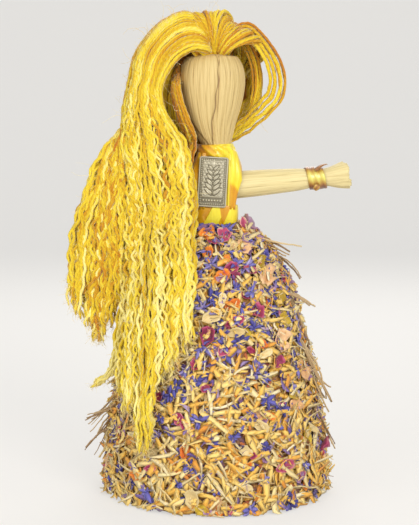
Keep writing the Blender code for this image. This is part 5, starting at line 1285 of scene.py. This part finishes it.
def makeHead(dice):
    husk = huskFinish("headHusk", srgb(212, 189, 130), srgb(194, 168, 108), srgb(134, 100, 58))
    h = np.linspace(2.0, -0.12, head["rows"])[:, None]
    for side, node in ((-1, "husk_leaf_front"), (1, "husk_leaf_back")):
        t = np.linspace(-1, 1, head["columns"])[None, :]
        gather = np.exp(-((h - 1.05) / 0.22) ** 2) + 0.35 * np.exp(-((h - 2.0) / 0.05) ** 2)
        depth = head["pleat"] + gather * head["neckPleat"]
        ripple = pleats(t, h, dice)
        lift = np.clip(h - 0.9, 0, 0.25) / 0.25 * head["grow"] + depth * ripple
        lift = lift + (head["lap"] if side < 0 else -head["lap"]) * np.abs(t) ** 6 * (h > 1)
        if side < 0:
            # the front leaf's own edge runs from the left side down to the middle of the neck; it steps down, with a
            # painted shade line along it
            cut = (h - 1.32) * 1.0 + (t + 0.72) * 0.62
            lift = lift - head["edgeStep"] * (1 - 1 / (1 + np.exp(-cut * 70))) * (h > 1.02)
            ripple = ripple - 1.6 * np.exp(-((cut + 0.025) / 0.03) ** 2) * (h > 1.02)
        # pleat shading: 1 on the ridges, 0 in the grooves, where the husk is painted darker as shade
        groove = np.clip(ripple + 0.5, 0, 1).ravel()
        outer = leafPoint(t * 1.02 + 0 * h, h + 0 * t, side, lift)
        inner = leafPoint(t * 1.02 + 0 * h, h + 0 * t, side, lift - head["wall"])
        inner[:3, :, 2] -= head["wall"]
        size = (44 * mm, 105 * mm)
        piece = putWall(f"head_husk_{'front' if side < 0 else 'back'}", outer, inner, husk, size=size,
                        traits=dict(groove=np.concatenate([groove, groove])))
        settle(piece, "doll", "husk", node)
    # a second leaf folded over the right half of the face side, with painted shadow along its edge as a dark crease
    # down the head
    s = np.linspace(0, 1, 90)[None, :]
    h = np.linspace(1.985, 1.04, 110)[:, None]
    edge = 0.19 - 0.27 * (2 - h) + 0.012 * np.sin(h * 9 + 1) + 0.012 * np.sin(h * 23)
    shadow = 0.4 + 1.2 * np.clip((1.8 - h) / 0.3, 0, 1)
    t = between(edge, 1.0, s)
    tuck = 1 - np.exp(-s * 16)
    ripple = pleats(t, h, dice)
    lift = head["grow"] + head["pleat"] * 1.2 * ripple + head["foldLift"] * (0.8 + 0.2 * tuck)
    groove = np.clip(ripple + 0.5 - shadow * np.exp(-s * 45), 0, 1).ravel()
    lift = lift - head["foldLift"] * 1.1 * np.clip((s - 0.86) / 0.14, 0, 1) ** 2
    lift = lift + head["neckPleat"] * np.exp(-((h - 1.05) / 0.2) ** 2) * pleats(t, h, dice)
    outer = leafPoint(t, h + 0 * t, -1, lift)
    inner = leafPoint(t, h + 0 * t, -1, lift - head["wall"])
    outer[:4, :, 2] += np.array([0.1, 0.3, 0.4, 0.2])[:, None] * mm
    piece = putWall("head_husk_fold", outer, inner, husk, size=(24 * mm, 50 * mm),
                    traits=dict(groove=np.concatenate([groove, groove])))
    settle(piece, "doll", "husk")
    inside = huskFinish("innerHusk", srgb(236, 214, 160), srgb(214, 184, 126), srgb(168, 126, 74))
    for node in ("head_core", "chest_filler"):
        for slot in frame["nodes"][node].material_slots:
            slot.material = inside
    return husk, inside


arm = dict(
    sleeve=[(0.012, 1.0), (0.17, 1.0), (0.32, 0.88), (0.47, 0.7), (0.6, 0.5), (0.67, 0.28), (0.74, 0.06), (0.8, 0)],
    hand=[(0.8, 0), (0.84, 0.15), (0.9, 0.66), (0.95, 0.92), (1.0, 1.0)],
    ridge=0.42 * mm, pinch=0.45 * mm, rows=64, columns=110, wall=0.45 * mm, ragged=2.2 * mm,
    slant=3.0 * mm, fingers=1.5 * mm, raised=1.4 * mm,
    wristAt=0.745, bandWide=5.7 * mm, bandWall=1.1 * mm, pitch=4.8 * mm, knot=2.1 * mm,
)


def armPlace(reach, across, rise):
    # World point from distances along the arm roll's axis, across it and above it
    lean = doll["armTilt"]
    x = doll["axisX"] + reach * math.cos(lean) - rise * math.sin(lean)
    z = doll["armZ"] + reach * math.sin(lean) + rise * math.cos(lean)
    return np.stack(np.broadcast_arrays(x, across, z), -1)


def armRadius(share):
    sleeve = between(doll["wristRadius"], doll["armRadius"], smoothTable(arm["sleeve"], share))
    hand = between(doll["wristRadius"], doll["handRadius"], smoothTable(arm["hand"], share))
    return np.where(share <= 0.8, sleeve, hand)


def raggedCut(angle, dice):
    # How far each part of a torn end falls short: flat leaf tips with steep steps between them
    tips = dice.uniform(0, 1, 9)
    place = np.mod(angle / turnFull * 9, 9)
    fine = np.sin(angle * 23 + dice.uniform(0, 6)) * 0.06 + np.sin(angle * 51) * 0.04
    return np.clip(tips[place.astype(int) % 9] + fine, 0, 1)


def makeSleeve(side, husk, dice, start, inset, node=None, name="arm_husk"):
    # A leaf rolled round the arm with its edge lapped, pinched at the wrist and spread as the hand
    share = np.linspace(start, 1.0, arm["rows"])[:, None]
    turn = np.linspace(0, 1, arm["columns"])[None, :]
    angle = turn * (turnFull + 0.35) - 2.3 + inset * 900
    ripple = pleats(turn * 1.9, share * 2, dice)
    wrist = np.exp(-((share - arm["wristAt"]) / 0.07) ** 2)
    flare = np.clip((share - 0.84) / 0.16, 0, 1)
    radius = armRadius(share) - inset + arm["ridge"] * (0.6 + flare) * ripple + wrist * arm["pinch"] * (ripple - 0.5)
    radius = radius + flare * 0.9 * mm * np.sin(angle * 3 + inset * 3000) + turn * 0.35 * mm
    radius = np.minimum(radius, armRadius(share) + 0.9 * mm * flare + 0.35 * mm)
    radius = radius + flare * arm["raised"] * np.clip(np.sin(angle), 0, 1)
    cut = raggedCut(angle, dice) * arm["ragged"] + inset * 0.8 + arm["slant"] * np.clip(np.sin(angle), 0, 1) ** 5
    span = doll["handReach"] * (1.0 - start)
    fingers = arm["fingers"] if side > 0 else -arm["fingers"]
    reach = doll["handReach"] * share + (fingers - cut) * np.clip((share - 0.87) / 0.13, 0, 1)
    flat = 1 - 0.14 * flare
    place = lambda r: armPlace(side * reach, r * flat * np.cos(angle), r * np.sin(angle))
    # pleat shading: the grooves between the ridges are painted darker as shade
    groove = np.clip(ripple + 0.55, 0, 1).ravel()
    piece = putWall(f"{name}_{'right' if side > 0 else 'left'}", place(radius), place(radius - arm["wall"]), husk,
                    size=(2 * math.pi * doll["armRadius"], span), traits=dict(groove=np.concatenate([groove, groove])))
    settle(piece, "arms", "husk", *([node] if node else []))


def makeArmCore(inside, dice):
    # The inner roll from hand to hand, a strip wound on itself so that its ends show turns
    share = np.linspace(-0.93, 0.93, 160)[:, None]
    turn = np.linspace(0, turnFull, 61)[None, :-1]
    room = armRadius(np.abs(share)) - 1.6 * mm
    radius = np.minimum(room, doll["armRadius"] - 1.6 * mm) + 0.16 * mm * np.sin(turn * 9 + share * 2)
    outer = armPlace(share * doll["handReach"], radius * np.cos(turn), radius * np.sin(turn))
    inner = armPlace(share * doll["handReach"], radius * 0.12 * np.cos(turn), radius * 0.12 * np.sin(turn))
    piece = putWall("arm_core_husk", outer, inner, inside, closed=True, size=(36 * mm, 149 * mm))
    settle(piece, "arms", "inner_husk", "arm_core_roll")


def makeWrist(side, satin, dice):
    # Ribbon wound twice round the wrist, the second turn lapped over the first, then its knot and a tail
    name = "right" if side > 0 else "left"
    along = np.linspace(0, 2, 181)
    middle = arm["wristAt"] * doll["handReach"] + (along - 0.9) * arm["pitch"]
    angle = turnFull * along
    seat = armRadius((middle - arm["bandWide"] / 2) / doll["handReach"]) + doll["gap"] + 0.3 * mm * along
    across = np.linspace(-0.5, 0.5, 21)
    crown = 1 - (2 * np.abs(across)) ** 6
    crease = 0.3 * mm * (fold(across[None] * 1.4 + 0.5 * np.sin(angle)[:, None] + along[:, None] * 1.3) - 0.5)
    top = seat[:, None] + arm["bandWall"] * (0.4 + 0.3 * crown[None]) + crease
    x = middle[:, None] + across[None] * arm["bandWide"]
    wrap = lambda r: armPlace(side * x, r * np.cos(angle)[:, None], r * np.sin(angle)[:, None])
    low = np.broadcast_to(seat[:, None], x.shape)
    # painted light and shade: lit where the band faces front and back, darker where it turns to the top and bottom and
    # in its creases
    tone = 0.82 * np.abs(np.cos(angle + 0.15)[:, None]) ** 3.5 + 0.9 * crease / mm + 0.1
    piece = putWall(f"wrist_satin_{name}", wrap(top), wrap(low), satin, size=(5 * mm, 64 * mm),
                    traits=dict(tone=np.concatenate([np.clip(tone, 0, 1).ravel()] * 2)))
    settle(piece, "arms", "satin_ribbon", f"wrist_ribbon_{name}")
    tilt = math.radians(-38)
    radius = armRadius(np.array(arm["wristAt"] - 0.047)) + doll["gap"] + arm["bandWall"] + 0.7 * arm["knot"]
    start = arm["wristAt"] * doll["handReach"]
    spot = armPlace(np.array(side * start), -radius * math.cos(tilt), radius * math.sin(tilt))
    down = armPlace(np.array(0.0), -math.cos(tilt), math.sin(tilt)) - armPlace(np.array(0.0), 0.0, 0.0)
    ahead = np.array([math.cos(doll["armTilt"]), 0, math.sin(doll["armTilt"]) * side]) * side
    third = np.cross(ahead, down)
    rows = np.linspace(-1, 1, 25)[:, None]
    turn = np.linspace(0, turnFull, 33)[None, :-1]
    swell = np.sqrt(np.clip(1 - (0.97 * rows) ** 2, 0, 1)) * (1 + 0.12 * np.sin(turn * 2 + rows * 3))
    wide = arm["knot"] * (swell - 0.12 * np.exp(-((rows - 0.3) / 0.15) ** 2))
    ring = lambda r: (spot + ahead * (rows * arm["knot"])[..., None] + down * (0.75 * r * np.cos(turn))[..., None]
                      + third * (r * np.sin(turn))[..., None])
    shade = np.clip(0.42 + 0.16 * np.sin(turn * 3 + rows * 4), 0, 1).ravel()
    knot = putWall(f"wrist_knot_satin_{name}", ring(wide), ring(wide * 0.05), satin, closed=True, size=(6 * mm, 6 * mm),
                   traits=dict(tone=np.concatenate([shade, shade])))
    settle(knot, "arms", "satin_ribbon", f"wrist_knot_{name}")
    s = np.linspace(0, 1, 16)
    turned = tilt - 0.5 * s + math.pi
    out = radius - 0.5 * mm + 0.9 * mm * np.sin(math.pi * s) + 0.6 * mm * s
    path = armPlace(side * (start + 7.5 * mm * s), out * np.cos(-turned), -out * np.sin(turned) * -1)[None]
    face = unit(path - armPlace(side * (start + 7.5 * mm * s), 0 * s, 0 * s)[None])
    beside = unit(np.cross(tangents(path), face))
    half = np.full((1, 16), 1.25 * mm) * (1 - 0.25 * s)
    rings = sweep(path, beside, half, face, np.full((1, 16), 0.2 * mm), [(-1, 0), (0, 1), (1, 0), (0, -1)])
    settle(putTubes(f"wrist_tail_{name}", rings, satin, [0.3]), "arms", "satin_ribbon")


def makeSkirtLeaves(dice):
    # Eight lapped leaves, ribbed along their length, from the waist to the hem
    husk = huskFinish("skirtHusk", srgb(226, 200, 146), srgb(198, 164, 108), srgb(146, 108, 62))
    for n in range(8):
        across = np.linspace(0, 1, 46)[None, :]
        drop = np.linspace(0, 1, 34)[:, None] ** 1.3
        z = doll["waistZ"] * (1 - drop) - doll["gap"] * (1 - drop)
        angle = turnFull * n / 8 + turnFull / 8 * 1.16 * (across - 0.5) + 0 * z
        rib = 0.12 * mm * pleats(across * 1.6, drop * 2, dice)
        low = bellRadius(z) + across * (doll["leafWall"] + 2 * doll["gap"]) + 0.15 * mm
        radial = np.stack([np.sin(angle), -np.cos(angle), 0 * angle], -1)
        rise = np.stack([doll["axisX"] + 0 * angle, 0 * angle, z + 0 * angle], -1)
        outer, inner = radial * (low + 0.6 * mm + rib)[..., None] + rise, radial * (low + rib)[..., None] + rise
        piece = putWall(f"skirt_husk_{n + 1}", outer, inner, husk, size=(50 * mm, 170 * mm))
        settle(piece, "doll", "skirt_husk", f"skirt_leaf_{n + 1}")


# Ribbon, thread and charm

# facets: the angle of each fold's middle, its half width, whether it points down (1) or up, and its painted shading
# from dark (0) to lit (1)
ribbon = dict(
    wall=0.55 * mm, fold=0.55 * mm,
    facets=[(-0.8, 0.45, 1, 0.24), (-0.8, 0.42, -1, 0.3), (-0.2, 0.34, -1, 0.92), (0.1, 0.3, 1, 1.0),
            (0.62, 0.3, -1, 0.9), (0.34, 0.24, 1, 0.18), (0.95, 0.34, 1, 0.8), (1.4, 0.4, -1, 0.7), (2.1, 0.45, 1, 0.9), (2.8, 0.4, -1, 0.6), (-2.6, 0.45, 1, 0.9),
            (-1.9, 0.4, -1, 0.75), (-1.2, 0.4, 1, 0.5)],
)


def squaredPoint(angle, wide, deep):
    # Point on a rounded square, fuller than an oval
    s, c = np.sin(angle), -np.cos(angle)
    stretch = (np.abs(s) ** 4 + np.abs(c) ** 4) ** -0.25
    return s * wide * stretch, c * deep * stretch


def makeWaistRibbon(satin):
    # Wrapped round the waist: sharp slanting folds, the lower edge dipping towards the front left
    share = np.linspace(1, 0, 32)[:, None]
    angle = np.linspace(0, turnFull, 221)[None, :-1]
    front = np.exp(-((np.mod(angle + math.pi, turnFull) - math.pi) / 0.9) ** 2)
    low = doll["waistZ"] + 0.5 * mm - 1.6 * mm * front * (1 - 0.9 * np.sin(angle))
    high = doll["waistZ"] + 10.75 * mm + 0.35 * mm * np.sin(angle * 2)
    z = between(low, high, share)
    turned = np.mod(angle + math.pi, turnFull) - math.pi
    # painted light and shade: a dim base, and each fold's facet painted to its own shading
    light, raised = 0.28 + 0.12 * np.sin(angle * 3), 0 * angle * share
    for middle, half, apex, shade in ribbon["facets"]:
        room = half * (share if apex > 0 else 1 - share) + 0.03
        inside = np.clip((room - np.abs(turned - middle - 0.1 * (share - 0.5))) / 0.035, 0, 1)
        light, raised = between(light, shade, inside), np.maximum(raised, inside * (1 - np.abs(turned - middle) / 0.6))
    swell = 0.4 * mm * np.sin(math.pi * share) ** 0.7 + ribbon["fold"] * np.clip(raised, 0, 1)
    x, y = squaredPoint(angle, doll["waistWide"] + 0.3 * mm, doll["bodiceDeep"] + 0.7 * mm)
    outX, outY = squaredPoint(angle, 1.0, 1.0)
    place = lambda out: np.stack([doll["axisX"] + x + outX * out, y + outY * out, z], -1)
    tone = light + 0 * share
    tones = np.broadcast_to(np.clip(tone, 0, 1), z.shape).ravel()
    piece = putWall("waist_satin", place(ribbon["wall"] + swell), place(swell), satin, closed=True,
                    size=(76 * mm, 11 * mm), traits=dict(tone=np.concatenate([tones, tones])))
    settle(piece, "doll", "satin_ribbon", "ribbon_waist_band")


def makeNeckRibbon(satin):
    # Wrapped twice round the neck: two crossing layers, each with slanting creases
    for n, (lift, lean, low, high) in enumerate(((0, 0.5, -3.0, 3.1), (0.75, -0.75, -4.3, 2.4))):
        share = np.linspace(1, 0, 28)[:, None]
        angle = np.linspace(0, turnFull, 181)[None, :-1]
        tip = np.sin(angle) * lean * mm * 1.6
        z = doll["neckZ"] + between(low * mm + tip, high * mm + tip * 0.5, share)
        slant = fold(angle * 1.5 + share * (1.3 if n else -1.0) + 0.2 * n)
        swell = lift * mm + 0.35 * mm * np.sin(math.pi * share) ** 0.6 + 0.55 * mm * (slant - 0.5)
        radius = 9.8 * mm + np.maximum(swell, 0) - 0.5 * mm * np.clip((z - doll["neckZ"]) / (3 * mm), 0, 1)
        place = lambda r: np.stack([doll["axisX"] + r * np.sin(angle), -r * np.cos(angle), z], -1)
        # painted light and shade: lighter on the right side, darker on the left, the creases' faces lighter and darker
        tone = 0.45 + 0.5 * np.sin(angle + 0.2) + 0.3 * (slant - 0.5)
        tones = np.broadcast_to(np.clip(tone, 0, 1), z.shape).ravel()
        piece = putWall(f"neck_satin_{n + 1}", place(radius + ribbon["wall"]), place(radius), satin, closed=True,
                        size=(68 * mm, 6 * mm), traits=dict(tone=np.concatenate([tones, tones])))
        settle(piece, "doll", "satin_ribbon", *(["ribbon_neck_band"] if n == 0 else []))


def makeShoulderRibbon(side, satin):
    # Broad ribbon from the waist up the front, over the root of the arm and down the back. It arches over
    # the roll and spreads at the shoulder.
    v = np.linspace(-1, 1, 121)[:, None]
    t = np.linspace(0, 1, 41)[None, :]
    half = np.pi / 2 * v
    shoulder = np.cos(half) ** 2
    inX = 6.9 * mm + 0.9 * mm * shoulder
    outX = 11.3 * mm + 3.9 * mm * np.clip(1.6 * np.cos(half), 0, 1) ** 1.2
    x = between(inX, outX, t)
    foot = doll["waistZ"] + 8.4 * mm
    top = doll["armZ"] + side * x * math.tan(doll["armTilt"]) + 9.6 * mm + (1 - t**2.2) * 12.6 * mm
    crease = fold(2.2 * t + 0.35 * np.sin(3 * v + side)) - 0.5
    puff = 0.8 * mm * np.sin(math.pi * t) ** 0.5 * (0.4 + 0.6 * shoulder) + 0.4 * mm * crease
    deep = 11.3 * mm - 1.3 * mm * t ** 2 - 1.1 * mm * np.abs(v) ** 8
    place = lambda lift: np.stack([
        doll["axisX"] + side * (x + 0.25 * lift * t), (deep + lift) * np.sign(v) * np.abs(np.sin(half)) ** 0.55,
        foot + (top + lift - foot) * np.abs(np.cos(half)) ** 0.7], -1)
    # painted light and shade: the right strap lit lemon with shade painted towards its outer edge at the shoulder and
    # near its ends at the waist, the left strap painted darker as if in shade, the creases lighter and darker
    shade = 0.5 * t**2 * (1 - np.clip((np.abs(v) - 0.3) / 0.25, 0, 1))
    shade = shade + 0.7 * np.clip((np.abs(v) - 0.78) / 0.06, 0, 1) * np.clip((t - 0.08) / 0.15, 0, 1)
    tone = 0.92 - 0.12 * t**2 + 0.16 * crease - shade if side > 0 else 0.42 - 0.2 * t + 0.2 * crease
    tones = np.broadcast_to(np.clip(tone, 0, 1), (v.size, t.size)).ravel()
    name = "right" if side > 0 else "left"
    piece = putWall(f"shoulder_satin_{name}", place(puff + ribbon["wall"]), place(puff), satin,
                    size=(6 * mm, 62 * mm), traits=dict(tone=np.concatenate([tones, tones])))
    settle(piece, "doll", "satin_ribbon", f"ribbon_strap_{name}")


def makeChestRibbon(side, satin):
    # Panel down the chest or back from the collar to the waist, with two long creases
    share = np.linspace(0, 1, 50)[:, None]
    t = np.linspace(-1, 1, 50)[None, :]
    z = between(204 * mm, 170 * mm, share)
    height = (z - doll["waistZ"]) / torso["height"]
    deep = between(doll["neckRadius"], doll["bodiceDeep"], np.clip((0.94 - height) / 0.2, 0, 1)) + 0.55 * mm
    crease = 0.25 * mm * (fold(t * 1.6 + share * 0.7) - 0.5)
    x = doll["axisX"] + t * 9.2 * mm * between(0.92, 1, np.minimum(share * 3, 1))
    place = lambda lift: np.stack([x, side * (deep + lift + 0 * t), z + 0 * t], -1)
    # painted light and shade: lighter towards the right, the creases lighter and darker
    tones = np.broadcast_to(0.45 + 0.25 * t + crease / mm * 0.5, (50, 50)).ravel()
    name = "front" if side < 0 else "back"
    piece = putWall(f"chest_satin_{name}", place(0.45 * mm + crease), place(0.0 * crease), satin,
                    size=(19 * mm, 34 * mm), traits=dict(tone=np.concatenate([tones, tones])))
    settle(piece, "doll", "satin_ribbon", f"ribbon_panel_{name}")


def windThread(name, node, turns, finish, radius=0.45 * mm):
    # Two plies twisted together, wound round the place that the CAD winding holds
    low, high = (np.array(c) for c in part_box(node))
    middle, half = (low + high) / 2, (high - low) / 2 - radius
    along = np.linspace(0, turns, turns * 56 + 1)
    angle = turnFull * along
    z = between(low[2] + radius, high[2] - radius, along / turns)
    path = np.stack([middle[0] + half[0] * np.sin(angle), middle[1] - half[1] * np.cos(angle), z], -1)
    plies = []
    for ply in (0, 1):
        twist = angle * 9 + ply * math.pi
        out = np.stack([np.sin(angle), -np.cos(angle), 0 * angle], -1)
        plies.append(path + out * (np.cos(twist) * 0.2 * mm)[:, None] + [0, 0, 1] * (np.sin(twist) * 0.2 * mm)[:, None])
    lines = np.array(plies)
    piece = putTubes(name, yarnRings(lines, np.full(lines.shape[:2], radius * 0.58)), finish, [0.4, 0.6],
                     stretch=np.array([0.1, 0.1]) * turns)
    settle(piece, "doll", "thread", node)


charm = dict(wide=17.4 * mm, tall=29.9 * mm, wall=1.6 * mm, corner=1.6 * mm, rim=0.85 * mm, lean=3.4, shift=2.2 * mm,
             back=11.15 * mm, columns=84, rows=140)


def charmRelief(x, z):
    # Height from 0 to 1: a rim, a line of beads inside it, an upright sprig with paired leaves and
    # berries, and a row of small round studs under it
    wide, tall = charm["wide"] / 2, charm["tall"] / 2
    inset = np.minimum(wide - np.abs(x), tall - np.abs(z))
    rim = 1 - 1 / (1 + np.exp(-(inset - charm["rim"]) / (0.09 * mm)))
    line = np.exp(-((inset - 1.75 * mm) / (0.34 * mm)) ** 2)
    run = np.where(wide - np.abs(x) < tall - np.abs(z), z, x)
    beads = line * (0.5 + 0.4 * np.cos(turnFull * run / (1.15 * mm)))
    inside = (inset > 2.35 * mm) * 1.0
    # the ground is all small scales, each with a dark edge and a dot
    row = np.floor(z / (1.7 * mm))
    u, v = np.mod(x / (2.1 * mm) + 0.5 * row, 1) - 0.5, z / (1.7 * mm) - row
    arch = np.abs(v - 1.05 * np.sqrt(np.clip(1 - (2 * u) ** 2, 0, 1)))
    scales = 0.62 * np.clip(arch / 0.16, 0, 1) + 0.25 * np.exp(-(u * u + (v - 0.4) ** 2) / 0.02)
    field = np.maximum(np.maximum(beads, 0), scales * inside)
    stem = np.exp(-((x - 0.25 * mm * np.sin(z / (3.2 * mm))) / (0.3 * mm)) ** 2) * (z > -8.3 * mm) * (z < 9.6 * mm)
    field = np.maximum(field, stem * 0.75)
    for n, at in enumerate(np.linspace(-6.6, 7.4, 6) * mm):
        for way in (-1, 1):
            size = 1 - 0.07 * n
            dx, dz = (x * way - 2.5 * mm * size), z - at - 1.1 * mm
            a = dx * math.cos(0.72) + dz * math.sin(0.72)
            b = dz * math.cos(0.72) - dx * math.sin(0.72)
            shape = 1 - (a / (2.7 * mm * size)) ** 2 - (b / ((1.12 - 0.25 * a / (3 * mm)) * mm * size)) ** 2
            field = np.where((shape < 0) & (shape > -0.9) & (inside > 0), 0, field)
            leaf = np.sqrt(np.clip(shape, 0, 1)) * (1 - 0.55 * np.exp(-(b / (0.16 * mm)) ** 2))
            field = np.maximum(field, leaf * inside)
            berry = 1 - ((x * way - 5.1 * mm) ** 2 + (z - at + 0.5 * mm) ** 2) / (0.6 * mm) ** 2
            field = np.maximum(field, np.sqrt(np.clip(berry, 0, 1)) * 0.85 * inside)
    bud = np.sqrt(np.clip(1 - (x / (0.95 * mm)) ** 2 - ((z - 10.6 * mm) / (1.5 * mm)) ** 2, 0, 1))
    field = np.maximum(field, bud * inside)
    field = np.where((np.abs(z + 10.9 * mm) < 2.0 * mm) & (inside > 0), 0.12, field)
    bar = np.exp(-((z + 9.0 * mm) / (0.25 * mm)) ** 2) * 0.7 * (np.abs(x) < 6.2 * mm)
    step = np.mod(x + 0.85 * mm, 1.7 * mm) - 0.85 * mm
    stud = np.sqrt(np.clip(1 - (step**2 + (z + 11.0 * mm) ** 2) / (0.66 * mm) ** 2, 0, 1)) * (np.abs(x) < 6.0 * mm)
    field = np.maximum(field, np.maximum(bar, stud))
    return np.maximum(rim * 0.85, field)


def makeCharm():
    z = np.linspace(charm["tall"] / 2, -charm["tall"] / 2, charm["rows"])[:, None]
    cut = np.maximum(np.abs(z) - (charm["tall"] / 2 - charm["corner"]), 0)
    half = charm["wide"] / 2 - charm["corner"] + np.sqrt(np.maximum(charm["corner"] ** 2 - cut**2, 0))
    x = np.linspace(-1, 1, charm["columns"])[None, :] * half
    relief = charmRelief(x, z + 0 * x)
    edge = np.minimum(np.minimum(half - np.abs(x), charm["tall"] / 2 - np.abs(z)) / (0.45 * mm), 1)
    height = charm["wall"] - (0.5 * mm) * (1 - relief) - 0.35 * mm * (1 - np.sqrt(edge))
    lean = math.radians(charm["lean"])
    middle = np.array([doll["axisX"] - charm["shift"], 0, doll["waistZ"] + 0.566 * torso["height"]])
    across, up = np.array([math.cos(lean), 0, -math.sin(lean)]), np.array([math.sin(lean), 0, math.cos(lean)])
    plane = middle + across * x[..., None] + up * (z + 0 * x)[..., None]
    out = np.array([0, -1.0, 0])
    outer, inner = plane + out * (charm["back"] + height)[..., None], plane + out * charm["back"]
    seen = np.concatenate([relief.ravel(), np.zeros(relief.size)])
    piece = putWall("pewter_charm", outer, inner, pewterFinish(), traits=dict(relief=seen))
    settle(piece, "doll", "pewter", "charm_plate")


def makeRibbons():
    satin = satinFinish("lemonSatin", (0, srgb(204, 134, 0)), (0.3, srgb(217, 160, 0)), (0.6, srgb(225, 195, 10)),
                        (1, srgb(242, 228, 56)))
    makeWaistRibbon(satin)
    makeNeckRibbon(satin)
    for side in (-1, 1):
        makeShoulderRibbon(side, satin)
        makeChestRibbon(side, satin)
    makeCharm()
    return satin


def makeThreads():
    thread = petalFinish("hempThread", (0, srgb(170, 132, 76)), (0.5, srgb(214, 184, 126)), (1, srgb(240, 220, 176)))
    windThread("hair_thread", "hair_tie", 3, thread)
    windThread("neck_thread", "neck_tie", 2, thread)
    windThread("waist_thread", "waist_tie", 3, thread)


def makeStage():
    # A plain pale floor that curves up into a backdrop, half of its paleness its own to the eye
    finish = Finish("paleFloor", Roughness=0.9)
    finish.shader.inputs["Base Color"].default_value = (*srgb(232, 230, 226), 1)
    seen = finish.node("ShaderNodeLightPath")
    rays = [Wire(finish, seen.socket.node.outputs[f"Is {kind} Ray"]) for kind in ("Camera", "Glossy", "Transmission")]
    share = (rays[0] + rays[1] + rays[2]).math("MINIMUM", rays[0] + rays[1] + rays[2], 1.0) * 0.62
    glow = finish.node("ShaderNodeEmission", {}, {"Color": (0.93, 0.92, 0.9, 1), "Strength": 1.0})
    plain = Wire(finish, finish.shader.outputs[0])
    both = finish.node("ShaderNodeMixShader", {}, [share, plain, glow])
    finish.tree.links.new(both.socket, finish.tree.nodes["Material Output"].inputs["Surface"])
    bend = np.linspace(0, math.pi / 2, 25)
    back, radius, wide = 1.4, 0.7, 3.0
    y = np.concatenate([[-2.0], back + radius * np.sin(bend), [back + radius]])
    z = np.concatenate([[0], radius * (1 - np.cos(bend)), [3.0]]) - 0.4 * mm
    points = np.stack([np.stack([0 * y + x, y, z], -1) for x in (-wide, wide)])
    row = np.arange(len(y) - 1)
    quads = np.stack([row, row + len(y), row + len(y) + 1, row + 1], -1)
    putMesh("pale_backdrop", points, quads, finish.material)
    world = bpy.data.worlds.new("softRoom")
    bpy.context.scene.world = world
    world.use_nodes = True
    tree = world.node_tree
    back = tree.nodes["Background"]
    back.inputs["Color"].default_value = (1, 0.985, 0.96, 1)
    seen = tree.nodes.new("ShaderNodeLightPath")
    sums = []
    for which in ("Is Camera Ray", "Is Glossy Ray", "Is Transmission Ray"):
        add = tree.nodes.new("ShaderNodeMath")
        add.operation, add.use_clamp = "ADD", True
        tree.links.new(seen.outputs[which], add.inputs[0])
        if sums:
            tree.links.new(sums[-1].outputs[0], add.inputs[1])
        else:
            add.inputs[1].default_value = 0
        sums.append(add)
    level = tree.nodes.new("ShaderNodeMapRange")
    level.inputs["To Min"].default_value = 0.5
    level.inputs["To Max"].default_value = 0.95
    tree.links.new(sums[-1].outputs[0], level.inputs["Value"])
    tree.links.new(level.outputs[0], back.inputs["Strength"])


lamps = dict(
    key=dict(place=(0.4, -0.9, 0.62), size=0.45, power=7.2, colour=(1, 0.96, 0.91)),
    fill=dict(place=(-0.75, -0.75, 0.4), size=0.8, power=4.1, colour=(1, 0.97, 0.94)),
    rim=dict(place=(0.1, 0.8, 0.8), size=0.7, power=5.0, colour=(1, 0.98, 0.95)),
)


def makeLamps():
    for name, lamp in lamps.items():
        light = bpy.data.lights.new(name, "AREA")
        light.size, light.energy, light.color = lamp["size"], lamp["power"], lamp["colour"]
        obj = bpy.data.objects.new(name, light)
        obj.location = lamp["place"]
        aim = np.array([0, 0, 0.15]) - np.array(lamp["place"])
        flat = math.hypot(aim[0], aim[1])
        obj.rotation_euler = (math.atan2(flat, -aim[2]), 0, math.atan2(aim[1], aim[0]) - math.pi / 2)
        bpy.context.scene.collection.objects.link(obj)


combed = makeHair(np.random.default_rng(5))
makeFuzz(combed, np.random.default_rng(4))
print("hair combed")
makeBed(np.random.default_rng(6))
makeBlades(np.random.default_rng(7))
makeBroadPetals(np.random.default_rng(8))
makeFlorets(np.random.default_rng(10))
makeStems(np.random.default_rng(9))
print("petals laid")
headHusk, innerHusk = makeHead(np.random.default_rng(12))
print("head folded")
dice = np.random.default_rng(13)
armHusk = huskFinish("armHusk", srgb(223, 209, 154), srgb(208, 191, 136), srgb(150, 126, 78))
# the wrist ribbon is the same yellow satin as the rest, given a darker brownish copy of its finish as painted shade
shadedSatin = satinFinish("wristShadeSatin", (0, srgb(106, 59, 23)), (0.3, srgb(151, 97, 38)), (0.65, srgb(193, 160, 70)),
                     (1, srgb(220, 218, 110)))
for side, name in ((-1, "left"), (1, "right")):
    makeSleeve(side, armHusk, dice, 0.012, 0.0, f"arm_leaf_{name}")
    makeSleeve(side, armHusk, dice, 0.78, 1.1 * mm, name="hand_husk_middle")
    makeSleeve(side, armHusk, dice, 0.8, 2.0 * mm, name="hand_husk_inner")
makeArmCore(innerHusk, dice)
makeSkirtLeaves(dice)
print("arms and skirt leaves rolled")
satin = makeRibbons()
for side in (-1, 1):
    makeWrist(side, shadedSatin, dice)
makeThreads()
print("ribbon and charm tied")
makeStage()
makeLamps()
bpy.context.scene.view_settings.view_transform = "Standard"
